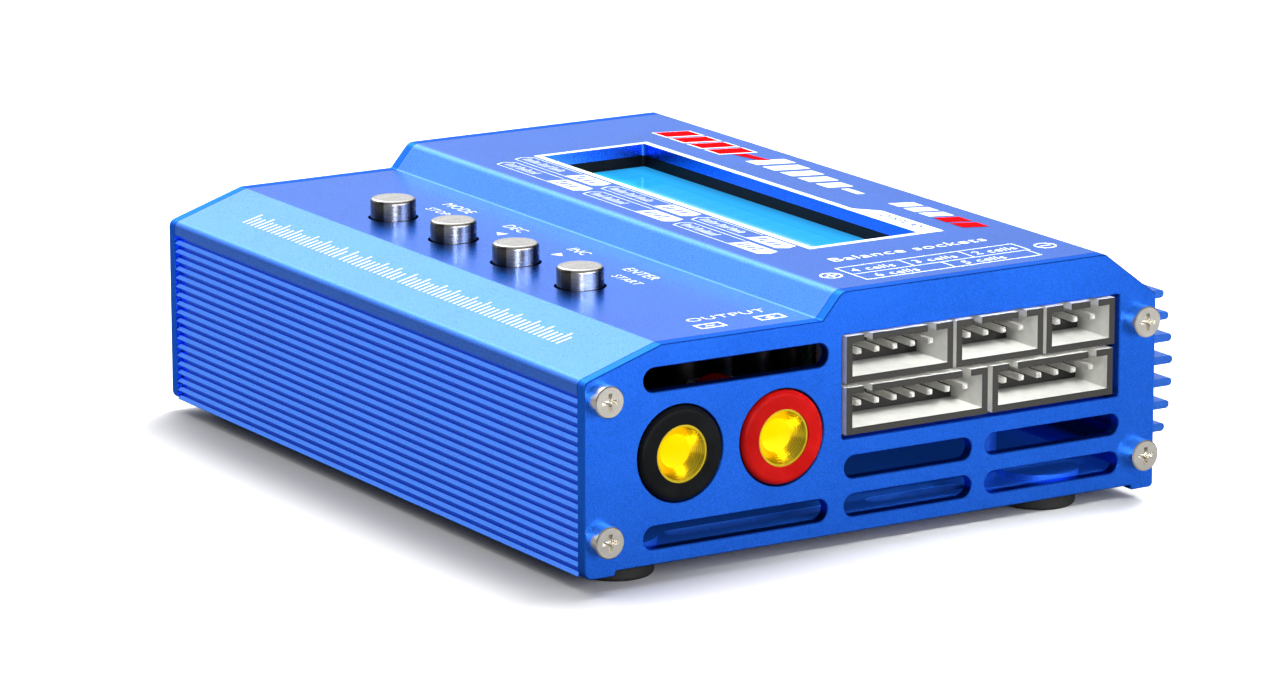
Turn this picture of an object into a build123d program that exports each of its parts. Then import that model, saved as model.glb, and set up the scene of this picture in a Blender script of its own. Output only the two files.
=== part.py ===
from build123d import *
import os

os.makedirs("parts", exist_ok=True)

# A small balance charger for hobby battery packs, in millimetres.
# X runs along the case with the output end at +X, Y runs from the ribbed front to the finned back,
# and Z is up. The origin is at the middle of the plan, on the plane that the feet stand on.

# Case
case_length = 102.0          # over both end plates
case_depth = 79.8            # end plates, front to back
case_height = 29.5           # end plates, bottom edge to upper deck
longest_fin = 3.8            # reach of the fin arc's crown behind the plates
foot_height = 1.6            # feet below the plates' bottom edge
plate_thickness = 1.5
plate_chamfer = 0.12
end_gap = 0.1                # between the shell and each end plate
deck_wall = 1.5
side_wall = 2.2
back_wall = 2.0
front_top = 23.1             # heights and depths of the profile's corners
low_deck = 26.4
low_deck_start = 10.3
low_deck_end = 32.2
upper_deck_start = 34.9
upper_deck_end = 72.3
back_top = 23.8

# Front ribs and back fins
rib_count = 19
rib_pitch = 1.124
rib_gap_depth = 0.7
rib_gap = 0.64               # height of the groove over each rib
rib_tilt = 0.30              # how far a rib's slanted face leans back
rib_lip = 0.05
top_rib = 21.53
fin_count = 8
fin_pitch = 2.755
fin_thickness = 1.0
bottom_fin = 3.98
fin_arc_radius = 28.0        # the fins' tips lie on an arc
fin_arc_height = 14.3

# Extruded channels and rails inside the shell
channel_radius = 2.3
channel_bore = 1.05
channel_front = 2.35
channel_back = 77.35
channel_low = 4.55
channel_high = 21.0
rail_reach = 1.7
rail_height = 0.9
floor_bottom = 0.7           # bottom plate
floor_thickness = 1.4
groove_depth = 1.1

# Openings of the decks
window_length = 62.7
window_width = 15.25
window_x = -2.35
window_depth = 52.55
button_count = 4
button_pitch = 15.05
first_button = -24.55
button_depth = 17.8
button_radius = 2.85
button_top = 28.9
button_hole = 3.15

# Electronics stack
board_thickness = 1.6
main_board_bottom = 10.3
main_board_top = main_board_bottom + board_thickness
key_board_bottom = 18.2
key_board_top = key_board_bottom + board_thickness
display_board_bottom = 19.8
display_board_top = display_board_bottom + board_thickness

# Output end
socket_depths = (12.8, 26.6)
socket_height = 13.3
banana_radius = 2.0
balance_depth = 35.2         # left side of the connector block
balance_bottom = 12.45
balance_protrusion = 0.5
header_height = 5.65
header_length = 7.4
header_wall = 0.8
header_row_gap = 0.5
pin_pitch = 2.5
pin_width = 0.64
pin_height = 3.35            # above the housing's bottom
pin_inset = 0.9              # tips behind the rim
top_row = (5, 4, 3)
bottom_row = (7, 6)
top_row_gap = 0.49
bottom_row_gap = 0.7

# Fan under the main board
fan_size = 40.0
fan_height = 7.0
fan_depth = 39.9
fan_hole_spacing = 32.0

front = -(case_depth + longest_fin) / 2
half_length = case_length / 2
inner_face = half_length - plate_thickness
shell_length = 2 * (inner_face - end_gap)
floor_top = floor_bottom + floor_thickness
socket_screws = 1.25         # clearance hole radius in the end plates
screw_head_radius = 1.9
screw_head_height = 1.8
low_head_height = 0.7


def y_at(depth):
    """Y of a point that lies this far behind the ribbed front."""
    return front + depth


def z_at(height):
    """Z of a point that lies this far above the end plates' bottom edge."""
    return foot_height + height


def placed(points):
    """(Y, Z) pairs from (depth, height) pairs."""
    return [(y_at(depth), z_at(height)) for depth, height in points]


def block(x_range, depth_range, height_range, mode=Mode.ADD):
    """A box between two X values, two depths and two heights, in the open part."""
    x_size, y_size, z_size = (high - low for low, high in (x_range, depth_range, height_range))
    centre = (sum(x_range) / 2, y_at(sum(depth_range) / 2), z_at(sum(height_range) / 2))
    with Locations(centre):
        Box(x_size, y_size, z_size, mode=mode)


def post(x, depth, height_range, radius, mode=Mode.ADD):
    """An upright round post in the open part."""
    low, high = height_range
    with Locations((x, y_at(depth), z_at((low + high) / 2))):
        Cylinder(radius, high - low, mode=mode)


def turned(origin, direction, profile, mode=Mode.ADD):
    """Revolves (radius, distance) points about an axis through origin, distance measured along it."""
    side = Vector(0, 0, 1) if abs(direction.Z) < 0.5 else Vector(1, 0, 0)
    section = Plane(origin=origin, x_dir=side, z_dir=side.cross(direction))
    with BuildSketch(section) as half_section:
        with BuildLine():
            Polyline(*profile, close=True)
        make_face()
    revolve(half_section.sketch, axis=Axis(origin, direction), mode=mode)


def cross_recess(top, width, depth):
    """Cuts a cross slot from the plane top downwards into the open part."""
    with BuildSketch(top) as cross:
        Rectangle(width, 0.24 * width)
        Rectangle(0.24 * width, width)
    extrude(cross.sketch, amount=-depth, mode=Mode.SUBTRACT)


def cheese_screw(origin, direction, head_radius, head_height, shank_radius, shank_length):
    """A cross-recessed screw with a flat cheese head, in the open part. origin lies under the head."""
    edge = 0.14
    turned(origin, direction, [(0, head_height), (head_radius - edge, head_height),
                               (head_radius, head_height - edge), (head_radius, 0),
                               (shank_radius, 0), (shank_radius, -shank_length),
                               (0, -shank_length)])
    side = Vector(0, 0, 1) if abs(direction.Z) < 0.5 else Vector(1, 0, 0)
    top = Plane(origin=origin + direction * head_height, x_dir=side, z_dir=direction)
    cross_recess(top, 1.1 * head_radius, 0.6 * head_height)


def countersunk_screw(x, depth, length):
    """A countersunk screw from below through the floor, in the open part."""
    origin = Vector(x, y_at(depth), z_at(floor_bottom))
    turned(origin, Vector(0, 0, 1), [(0, 0.1), (2.3, 0.1), (1.35, 1.05), (1.35, length), (0, length)])
    cross_recess(Plane(origin=origin, z_dir=(0, 0, -1)), 2.4, 0.8)


def plate_blank(x):
    """The end plates' outline, extruded by the plate thickness from x, in the open part."""
    lug = 4.1
    recess = 0.6
    corners = [(0, 0), (0, front_top), (low_deck_start, low_deck), (low_deck_end, low_deck),
               (upper_deck_start, case_height), (upper_deck_end, case_height),
               (case_depth, back_top), (case_depth, 0), (case_depth - 0.8 * lug, 0),
               (case_depth - 0.8 * lug, recess), (lug, recess), (lug, 0)]
    radii = [1.0, 1.0, 0.6, 0.4, 1.4, 0.6, 0.8, 0.5, 0.3, 0.25, 0.25, 0.3]
    with BuildSketch(Plane.YZ.offset(x)) as blank:
        with BuildLine():
            FilletPolyline(*placed(corners), radius=radii, close=True)
        make_face()
    extrude(blank.sketch, amount=plate_thickness)


def plate_slots(x, slots):
    """Cuts round-ended vent slots, (first depth, last depth, middle height, opening), from x outwards."""
    with BuildSketch(Plane.YZ.offset(x)) as openings:
        for first, last, height, opening in slots:
            with Locations((y_at((first + last) / 2), z_at(height))):
                SlotOverall(last - first, opening)
    extrude(openings.sketch, amount=plate_thickness, mode=Mode.SUBTRACT)


def plate_holes(x, holes, radius):
    """Cuts round holes at (depth, height) places through the plate that starts at x."""
    with BuildSketch(Plane.YZ.offset(x)) as openings:
        with Locations(placed(holes)):
            Circle(radius)
    extrude(openings.sketch, amount=plate_thickness, mode=Mode.SUBTRACT)


channel_places = [(depth, height) for depth in (channel_front, channel_back)
                  for height in (channel_low, channel_high)]
lower_slots = [(7.9, 33.0, 3.77, 2.75), (35.3, 53.3, 3.8, 2.7), (55.2, 74.6, 3.8, 2.7),
               (35.3, 53.3, 8.4, 2.7), (55.2, 74.6, 8.5, 2.6)]
button_xs = [first_button + i * button_pitch for i in range(button_count)]

# ---------------------------------------------------------------- case

outer_profile = [(0, 0.15), (0, front_top), (low_deck_start, low_deck), (low_deck_end, low_deck),
                 (upper_deck_start, case_height), (upper_deck_end, case_height),
                 (case_depth, back_top), (case_depth, 0.15)]
inner_back = case_depth - back_wall
inner_profile = [(side_wall, -1), (side_wall, 22.2), (10.6, low_deck - deck_wall),
                 (32.9, low_deck - deck_wall), (35.6, case_height - deck_wall),
                 (71.8, case_height - deck_wall), (inner_back, 23.4), (inner_back, -1)]

with BuildPart() as top_shell:
    with BuildSketch(Plane.YZ.offset(-shell_length / 2)):
        with BuildLine():
            FilletPolyline(*placed(outer_profile), radius=[0, 1.0, 0.6, 0.4, 1.4, 0.6, 0.8, 0],
                           close=True)
        make_face()
        with BuildLine():
            Polyline(*placed(inner_profile), close=True)
        make_face(mode=Mode.SUBTRACT)
        for i in range(fin_count):
            height = bottom_fin + i * fin_pitch
            sagitta = fin_arc_radius - (fin_arc_radius**2 - (height - fin_arc_height)**2)**0.5
            tip = case_depth + longest_fin - sagitta
            root = inner_back + 0.8
            with Locations((y_at((root + tip) / 2), z_at(height))):
                SlotOverall(tip - root, fin_thickness)
        with Locations(placed(channel_places)):
            Circle(channel_radius)
        for i in range(rib_count):
            top = top_rib - i * rib_pitch
            rib_foot = top - rib_pitch + rib_lip
            with BuildLine():
                Polyline(*placed([(-0.1, top), (rib_gap_depth, top), (rib_gap_depth, top - rib_gap),
                                  (rib_tilt, top - rib_gap), (0, rib_foot), (-0.1, rib_foot)]),
                         close=True)
            make_face(mode=Mode.SUBTRACT)
        for rail_low in (main_board_bottom - 0.1 - rail_height, main_board_top + 0.1):
            for wall_side in (side_wall + rail_reach / 2, inner_back - rail_reach / 2):
                with Locations((y_at(wall_side), z_at(rail_low + rail_height / 2))):
                    Rectangle(rail_reach + 0.4, rail_height)
        with Locations(placed(channel_places)):
            Circle(channel_bore, mode=Mode.SUBTRACT)
        groove_height = floor_bottom + floor_thickness / 2
        for groove_y in (side_wall - groove_depth / 2, inner_back + groove_depth / 2):
            with Locations((y_at(groove_y), z_at(groove_height))):
                Rectangle(groove_depth + 0.02, floor_thickness + 0.1, mode=Mode.SUBTRACT)
    extrude(amount=shell_length)
    with BuildSketch(Plane.XY.offset(z_at(low_deck))):
        with Locations([(x, y_at(button_depth)) for x in button_xs]):
            Circle(button_hole)
    extrude(amount=-2 * deck_wall, mode=Mode.SUBTRACT)
    with BuildSketch(Plane.XY.offset(z_at(case_height))):
        with Locations((window_x, y_at(window_depth))):
            RectangleRounded(window_length, window_width, 0.5)
    extrude(amount=-2 * deck_wall, mode=Mode.SUBTRACT)
top_shell.part.label = "top_shell"
export_step(top_shell.part, "parts/top_shell.step")

foot_places = [(side * 44.5, depth) for side in (-1, 1) for depth in (8.0, 67.5)]
foot_radius = 4.5
foot_seat = 0.8              # depth of the pressed seat that each foot sits in
standoff_places = [(39.8, 62.2), (21.0, 8.0), (-36.0, 8.0), (-38.0, 70.0)]
standoff_radius = 2.0
floor_screw_radius = 1.5
fan_screw_places = [(x, fan_depth + y) for x in (-fan_hole_spacing / 2, fan_hole_spacing / 2)
                    for y in (-fan_hole_spacing / 2, fan_hole_spacing / 2)]
grille_rings = [(18.6, 16.4), (14.4, 12.2), (10.2, 8.0), (6.0, 3.8)]
floor_vents = [(45.0, 14.5, 38.5), (45.0, 42.5, 56.5), (-45.0, 23.0, 39.0), (-45.0, 42.5, 56.5)]
channel_clear = channel_front + channel_radius + 0.1    # seats stop short of the screw channels

with BuildPart() as bottom_plate:
    block((-shell_length / 2, shell_length / 2), (side_wall - groove_depth, inner_back + groove_depth),
          (floor_bottom, floor_top))
    for x, depth in foot_places:
        post(x, depth, (floor_bottom, floor_top + foot_seat), foot_radius + 0.35)
    block((-half_length, half_length), (0, channel_clear), (floor_top, floor_top + 1), Mode.SUBTRACT)
    for x, depth in foot_places:
        post(x, depth, (floor_bottom, floor_bottom + foot_seat), foot_radius + 0.05, Mode.SUBTRACT)
    with BuildSketch(Plane.XY.offset(z_at(floor_bottom))):
        with Locations((0, y_at(fan_depth))):
            for outer, inner in grille_rings:
                Circle(outer)
                Circle(inner, mode=Mode.SUBTRACT)
            for angle in (45, 135):
                Rectangle(2 * grille_rings[0][0] + 1, 2.2, rotation=angle, mode=Mode.SUBTRACT)
        for x, first, last in floor_vents:
            with Locations((x, y_at((first + last) / 2))):
                SlotOverall(last - first, 2.4, rotation=90)
    extrude(amount=floor_thickness, mode=Mode.SUBTRACT)
    for x, depth in standoff_places + fan_screw_places:
        with Locations(Plane(origin=(x, y_at(depth), z_at(floor_bottom)), z_dir=(0, 0, -1))):
            CounterSinkHole(floor_screw_radius, 2.5, floor_thickness, 90)
bottom_plate.part.label = "bottom_plate"
export_step(bottom_plate.part, "parts/bottom_plate.step")

balance_cut = ((34.9, 74.5), (11.9, 24.4))

with BuildPart() as output_end_plate:
    plate_blank(inner_face)
    plate_slots(inner_face, lower_slots + [(7.9, 33.0, 22.35, 2.85)])
    plate_holes(inner_face, channel_places, socket_screws)
    plate_holes(inner_face, [(depth, socket_height) for depth in socket_depths], 5.75)
    with BuildSketch(Plane.YZ.offset(inner_face)):
        (cut_left, cut_right), (cut_low, cut_high) = balance_cut
        with Locations((y_at((cut_left + cut_right) / 2), z_at((cut_low + cut_high) / 2))):
            RectangleRounded(cut_right - cut_left, cut_high - cut_low, 0.35)
    extrude(amount=plate_thickness, mode=Mode.SUBTRACT)
    outside = output_end_plate.faces().sort_by(Axis.X)[-1]
    chamfer(outside.edges(), plate_chamfer)
output_end_plate.part.label = "output_end_plate"
export_step(output_end_plate.part, "parts/output_end_plate.step")

jack_depth = 16.0            # power input, beside the sensor and data ports
jack_width = 9.0
jack_height = 11.0
jack_axis = main_board_top + 6.5
data_depth = 42.0
sensor_depth = 60.0
sensor_width = 4.9 + 2 * pin_pitch

with BuildPart() as input_end_plate:
    plate_blank(-half_length)
    plate_slots(-half_length, lower_slots + [(35.3, 53.3, 22.35, 2.7), (55.2, 71.6, 22.35, 2.7)])
    plate_holes(-half_length, channel_places, socket_screws)
    with BuildSketch(Plane.YZ.offset(-half_length)):
        with Locations((y_at(jack_depth), z_at(main_board_top + jack_height / 2))):
            RectangleRounded(jack_width + 0.5, jack_height + 0.5, 0.4)
        with Locations((y_at(data_depth), z_at(main_board_top + 1.4))):
            RectangleRounded(8.6, 3.8, 1.0)
        with Locations((y_at(sensor_depth), z_at(main_board_top + header_height / 2 + 0.15))):
            RectangleRounded(sensor_width + 0.6, header_height + 0.9, 0.3)
    extrude(amount=plate_thickness, mode=Mode.SUBTRACT)
    outside = input_end_plate.faces().sort_by(Axis.X)[0]
    chamfer(outside.edges(), plate_chamfer)
input_end_plate.part.label = "input_end_plate"
export_step(input_end_plate.part, "parts/input_end_plate.step")

with BuildPart() as output_plate_screws:
    for depth, height in channel_places:
        cheese_screw(Vector(half_length, y_at(depth), z_at(height)), Vector(1, 0, 0),
                     screw_head_radius, screw_head_height, 1.0, 8.0)
output_plate_screws.part.label = "output_plate_screws"
export_step(output_plate_screws.part, "parts/output_plate_screws.step")

with BuildPart() as input_plate_screws:
    for depth, height in channel_places:
        cheese_screw(Vector(-half_length, y_at(depth), z_at(height)), Vector(-1, 0, 0),
                     screw_head_radius, low_head_height, 1.0, 8.0)
input_plate_screws.part.label = "input_plate_screws"
export_step(input_plate_screws.part, "parts/input_plate_screws.step")

with BuildPart() as rubber_feet:
    for x, depth in foot_places:
        post(x, depth, (-foot_height, floor_bottom + foot_seat), foot_radius)
    fillet(rubber_feet.edges().group_by(Axis.Z)[0], 0.5)
rubber_feet.part.label = "rubber_feet"
export_step(rubber_feet.part, "parts/rubber_feet.step")

with BuildPart() as standoff_screws:
    for x, depth in standoff_places:
        countersunk_screw(x, depth, 4.5)
standoff_screws.part.label = "standoff_screws"
export_step(standoff_screws.part, "parts/standoff_screws.step")

with BuildPart() as fan_screws:
    for x, depth in fan_screw_places:
        countersunk_screw(x, depth, 6.0)
fan_screws.part.label = "fan_screws"
export_step(fan_screws.part, "parts/fan_screws.step")

# ---------------------------------------------------------------- boards and what stands on them

main_board_x = (-47.5, 45.2)
notch_x = 33.5               # the board is cut away here for the output sockets
notch_depth = 34.4
balance_board_x = (42.5, 44.1)

with BuildPart() as main_board:
    block(main_board_x, (side_wall + 0.3, inner_back - 0.3), (main_board_bottom, main_board_top))
    block((notch_x, main_board_x[1] + 1), (0, notch_depth), (main_board_bottom - 1, main_board_top + 1),
          Mode.SUBTRACT)
    for x, depth in standoff_places:
        post(x, depth, (main_board_bottom - 1, main_board_top + 1), 1.45, Mode.SUBTRACT)
main_board.part.label = "main_board"
export_step(main_board.part, "parts/main_board.step")

with BuildPart() as board_standoffs:
    for x, depth in standoff_places:
        post(x, depth, (floor_top, main_board_bottom), standoff_radius)
        post(x, depth, (floor_top, floor_top + 3.5), 1.42, Mode.SUBTRACT)
        post(x, depth, (main_board_bottom - 3.5, main_board_bottom), 1.42, Mode.SUBTRACT)
board_standoffs.part.label = "board_standoffs"
export_step(board_standoffs.part, "parts/board_standoffs.step")

with BuildPart() as board_screws:
    for x, depth in standoff_places:
        cheese_screw(Vector(x, y_at(depth), z_at(main_board_top)), Vector(0, 0, 1), 2.0, 1.5, 1.4, 4.0)
board_screws.part.label = "board_screws"
export_step(board_screws.part, "parts/board_screws.step")

key_post_places = [(x, depth) for x in (-31.3, 27.0) for depth in (7.6, 28.4)]

with BuildPart() as key_board:
    block((-34.3, 30.0), (5.0, 31.0), (key_board_bottom, key_board_top))
    for x, depth in key_post_places:
        post(x, depth, (key_board_bottom - 1, key_board_top + 1), 1.15, Mode.SUBTRACT)
key_board.part.label = "key_board"
export_step(key_board.part, "parts/key_board.step")

display_post_places = [(window_x + x, window_depth + y) for x in (-38.0, 38.0) for y in (-14.0, 14.0)]

with BuildPart() as board_spacers:
    for x, depth in key_post_places:
        post(x, depth, (main_board_top, key_board_bottom), 1.9)
    for x, depth in display_post_places:
        post(x, depth, (main_board_top, display_board_bottom), 1.9)
board_spacers.part.label = "board_spacers"
export_step(board_spacers.part, "parts/board_spacers.step")

with BuildPart() as spacer_screws:
    for x, depth in key_post_places:
        cheese_screw(Vector(x, y_at(depth), z_at(key_board_top)), Vector(0, 0, 1), 1.9, 1.4, 1.1, 1.6)
    for x, depth in display_post_places:
        cheese_screw(Vector(x, y_at(depth), z_at(display_board_top)), Vector(0, 0, 1), 1.9, 1.4, 1.1, 1.6)
spacer_screws.part.label = "spacer_screws"
export_step(spacer_screws.part, "parts/spacer_screws.step")

# ---------------------------------------------------------------- buttons

switch_size = 6.0
switch_top = 23.3
stem_radius = 1.7
stem_bottom = 22.2
stem_top = 26.9
cap_flange = (23.9, 24.6)    # the flange under the deck keeps the cap in
cap_flange_radius = 3.6

with BuildPart() as tact_switches:
    for x in button_xs:
        block((x - switch_size / 2, x + switch_size / 2),
              (button_depth - switch_size / 2, button_depth + switch_size / 2),
              (key_board_top, switch_top))
        post(x, button_depth, (stem_bottom - 0.6, switch_top), stem_radius + 0.05, Mode.SUBTRACT)
tact_switches.part.label = "tact_switches"
export_step(tact_switches.part, "parts/tact_switches.step")

button_names = ("stop", "minus", "plus", "start")

for name, x in zip(button_names, button_xs):
    with BuildPart() as stem:
        post(x, button_depth, (stem_bottom, stem_top), stem_radius)
    stem.part.label = f"{name}_switch_stem"
    export_step(stem.part, f"parts/{name}_switch_stem.step")

    with BuildPart() as button:
        post(x, button_depth, (cap_flange[1], button_top), button_radius)
        fillet(button.edges().sort_by(Axis.Z)[-1], 0.45)
        post(x, button_depth, cap_flange, cap_flange_radius)
        post(x, button_depth, (cap_flange[0], stem_top), stem_radius + 0.02, Mode.SUBTRACT)
    button.part.label = f"{name}_button"
    export_step(button.part, f"parts/{name}_button.step")

# ---------------------------------------------------------------- balance connectors

rim_x = half_length + balance_protrusion
header_back = rim_x - header_length
tail_x = balance_board_x[0] - 1.6


def header_width(pins):
    """Outer width of a connector housing with this many pins."""
    return (pins - 1) * pin_pitch + 4.9


def header_row(row, gap, bottom):
    """(pins, left side's depth, bottom height) for each housing in a row."""
    places, left = [], balance_depth
    for pins in row:
        places.append((pins, left, bottom))
        left += header_width(pins) + gap
    return places


balance_places = (header_row(bottom_row, bottom_row_gap, balance_bottom)
                  + header_row(top_row, top_row_gap, balance_bottom + header_height + header_row_gap))


def pin_depths(pins, left):
    """Depths of the pins of a housing whose left side is at left."""
    return [left + 2.45 + i * pin_pitch for i in range(pins)]


def header_housing(pins, left, bottom, rim, outward):
    """A keyed connector shroud in the open part. outward is 1 or -1 along X."""
    width = header_width(pins)
    back, floor = rim - outward * header_length, rim - outward * (header_length - header_wall)

    def span(first, second):
        """Two X values in rising order."""
        return (min(first, second), max(first, second))

    block(span(back, rim), (left, left + width), (bottom, bottom + header_height))
    block(span(floor, rim + outward), (left + header_wall, left + width - header_wall),
          (bottom + header_wall, bottom + header_height - header_wall), Mode.SUBTRACT)
    for key in (left + 2.4, left + width - 3.6):
        block(span(rim - outward * 5.0, rim + outward), (key, key + 1.2),
              (bottom + header_height - 1.5 * header_wall, bottom + header_height + 1), Mode.SUBTRACT)
    half = pin_width / 2
    for depth in pin_depths(pins, left):
        block(span(back - outward, floor + outward), (depth - half, depth + half),
              (bottom + pin_height - half, bottom + pin_height + half), Mode.SUBTRACT)


def square_pin(origin, direction, length):
    """A square pin with a chamfered tip, in the open part."""
    side = Vector(0, 1, 0)
    shoulder = length - 0.3
    with BuildSketch(Plane(origin=origin, x_dir=side, z_dir=direction)) as shank:
        Rectangle(pin_width, pin_width)
    extrude(shank.sketch, amount=shoulder)
    with BuildSketch(Plane(origin=origin + direction * shoulder, x_dir=side, z_dir=direction)) as tip:
        Rectangle(pin_width, pin_width)
    extrude(tip.sketch, amount=length - shoulder, taper=28)


for pins, left, bottom in balance_places:
    with BuildPart() as housing:
        header_housing(pins, left, bottom, rim_x, 1)
    housing.part.label = f"balance_header_{pins}pin"
    export_step(housing.part, f"parts/balance_header_{pins}pin.step")

with BuildPart() as balance_pins:
    for pins, left, bottom in balance_places:
        for depth in pin_depths(pins, left):
            square_pin(Vector(tail_x, y_at(depth), z_at(bottom + pin_height)), Vector(1, 0, 0),
                       rim_x - pin_inset - tail_x)
balance_pins.part.label = "balance_pins"
export_step(balance_pins.part, "parts/balance_pins.step")

with BuildPart() as balance_board:
    block(balance_board_x, (34.6, 74.2), (main_board_top, 24.7))
    with BuildSketch(Plane.YZ.offset(balance_board_x[0])):
        for pins, left, bottom in balance_places:
            with Locations(placed([(depth, bottom + pin_height) for depth in pin_depths(pins, left)])):
                Circle(0.5)
    extrude(amount=board_thickness, mode=Mode.SUBTRACT)
balance_board.part.label = "balance_board"
export_step(balance_board.part, "parts/balance_board.step")

with BuildPart() as board_link_headers:
    block((-32.0, 8.6), (64.9, 67.4), (main_board_top, display_board_bottom))
    block((-10.0, 5.2), (28.2, 30.7), (main_board_top, key_board_bottom))
    block((40.0, balance_board_x[0]), (40.0, 57.0), (main_board_top, main_board_top + 2.5))
board_link_headers.part.label = "board_link_headers"
export_step(board_link_headers.part, "parts/board_link_headers.step")

# ---------------------------------------------------------------- output sockets

collar_front = half_length + 0.45
cup_front = half_length + 0.3

for name, depth in zip(("black", "red"), socket_depths):
    axis_foot = Vector(0, y_at(depth), z_at(socket_height))
    with BuildPart() as collar:
        turned(axis_foot, Vector(1, 0, 0),
               [(3.42, collar_front), (5.6, collar_front), (5.6, inner_face - 0.05),
                (6.6, inner_face - 0.05), (6.6, inner_face - 2.0), (4.5, inner_face - 2.0),
                (4.5, 36.0), (2.95, 36.0), (2.95, 49.0), (3.42, 49.0)])
        fillet(collar.edges().group_by(Axis.X)[-1].sort_by(SortBy.RADIUS)[-1], 0.7)
    collar.part.label = f"{name}_socket_collar"
    export_step(collar.part, f"parts/{name}_socket_collar.step")

    with BuildPart() as contact:
        turned(axis_foot, Vector(1, 0, 0),
               [(3.15, cup_front), (3.42, cup_front), (3.42, 49.0), (2.95, 49.0), (2.95, 33.7),
                (1.4, 33.7), (1.4, 30.2), (0, 30.2), (0, 35.4), (banana_radius, 35.4),
                (banana_radius, cup_front - 1.5)])
    contact.part.label = f"{name}_socket_contact"
    export_step(contact.part, f"parts/{name}_socket_contact.step")

with BuildPart() as socket_nuts:
    for depth in socket_depths:
        with BuildSketch(Plane(origin=(33.7, y_at(depth), z_at(socket_height)), x_dir=(0, 1, 0),
                               z_dir=(1, 0, 0))):
            RegularPolygon(3.5, 6, major_radius=False)
            Circle(2.95, mode=Mode.SUBTRACT)
        extrude(amount=2.3)
socket_nuts.part.label = "socket_nuts"
export_step(socket_nuts.part, "parts/socket_nuts.step")

# ---------------------------------------------------------------- display

bezel_size = (71.4, 25.0)
bezel_top = case_height - deck_wall - 0.02
bezel_lip = 1.45
glass_thickness = 2.2
glass_top = bezel_top - bezel_lip
bezel_inner = (bezel_size[0] - 1.0, bezel_size[1] - 1.0)


def display_layer(size, low, high):
    """A rectangular layer of the display, centred on its window, in the open part."""
    length, width = size
    block((window_x - length / 2, window_x + length / 2),
          (window_depth - width / 2, window_depth + width / 2), (low, high))


with BuildPart() as display_bezel:
    display_layer(bezel_size, display_board_top, bezel_top)
    with BuildSketch(Plane.XY.offset(z_at(display_board_top))):
        with Locations((window_x, y_at(window_depth))):
            Rectangle(*bezel_inner)
    extrude(amount=glass_top - display_board_top, mode=Mode.SUBTRACT)
    with BuildSketch(Plane.XY.offset(z_at(bezel_top))):
        with Locations((window_x, y_at(window_depth))):
            RectangleRounded(window_length, window_width, 0.5)
    extrude(amount=-2 * bezel_lip, mode=Mode.SUBTRACT)
display_bezel.part.label = "display_bezel"
export_step(display_bezel.part, "parts/display_bezel.step")

layer_size = (bezel_inner[0] - 0.2, bezel_inner[1] - 0.2)

with BuildPart() as display_glass:
    display_layer(layer_size, glass_top - glass_thickness, glass_top)
display_glass.part.label = "display_glass"
export_step(display_glass.part, "parts/display_glass.step")

with BuildPart() as display_light_guide:
    display_layer(layer_size, display_board_top, glass_top - glass_thickness)
display_light_guide.part.label = "display_light_guide"
export_step(display_light_guide.part, "parts/display_light_guide.step")

with BuildPart() as display_board:
    display_layer((80.0, 32.0), display_board_bottom, display_board_top)
    for x, depth in display_post_places:
        post(x, depth, (display_board_bottom - 1, display_board_top + 1), 1.15, Mode.SUBTRACT)
display_board.part.label = "display_board"
export_step(display_board.part, "parts/display_board.step")

# ---------------------------------------------------------------- input end ports

jack_front = -half_length - 0.3
jack_back = jack_front + 14.2
jack_foot = Vector(0, y_at(jack_depth), z_at(jack_axis))

with BuildPart() as power_jack:
    block((jack_front, jack_back), (jack_depth - jack_width / 2, jack_depth + jack_width / 2),
          (main_board_top, main_board_top + jack_height))
    turned(jack_foot, Vector(1, 0, 0), [(0, jack_front - 1), (3.2, jack_front - 1),
                                        (3.2, jack_front + 9.5), (0, jack_front + 9.5)], Mode.SUBTRACT)
    turned(jack_foot, Vector(1, 0, 0), [(0, jack_front + 9.4), (1.25, jack_front + 9.4),
                                        (1.25, jack_back + 0.1), (0, jack_back + 0.1)], Mode.SUBTRACT)
power_jack.part.label = "power_jack"
export_step(power_jack.part, "parts/power_jack.step")

with BuildPart() as power_jack_pin:
    turned(jack_foot, Vector(1, 0, 0), [(0, jack_front + 0.8), (0.8, jack_front + 0.8),
                                        (1.25, jack_front + 1.3), (1.25, jack_back + 0.6),
                                        (0, jack_back + 0.6)])
power_jack_pin.part.label = "power_jack_pin"
export_step(power_jack_pin.part, "parts/power_jack_pin.step")

data_front = -half_length + 0.1
data_outline = [(-3.7, 2.5), (3.7, 2.5), (3.7, 1.2), (2.6, 0), (-2.6, 0), (-3.7, 1.2)]

with BuildPart() as data_port_shell:
    with BuildSketch(Plane(origin=(data_front, y_at(data_depth), z_at(main_board_top)),
                           x_dir=(0, 1, 0), z_dir=(1, 0, 0))):
        with BuildLine():
            FilletPolyline(*data_outline, radius=0.5, close=True)
        make_face()
        offset(amount=-0.25, mode=Mode.SUBTRACT)
    extrude(amount=5.6)
data_port_shell.part.label = "data_port_shell"
export_step(data_port_shell.part, "parts/data_port_shell.step")

with BuildPart() as data_port_tongue:
    block((data_front + 0.9, data_front + 5.6), (data_depth - 1.9, data_depth + 1.9),
          (main_board_top + 1.45, main_board_top + 2.1))
    block((data_front + 4.6, data_front + 5.6), (data_depth - 3.0, data_depth + 3.0),
          (main_board_top + 0.9, main_board_top + 2.1))
data_port_tongue.part.label = "data_port_tongue"
export_step(data_port_tongue.part, "parts/data_port_tongue.step")

sensor_left = sensor_depth - sensor_width / 2

with BuildPart() as sensor_header:
    header_housing(3, sensor_left, main_board_top, -rim_x, -1)
sensor_header.part.label = "sensor_header"
export_step(sensor_header.part, "parts/sensor_header.step")

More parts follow.
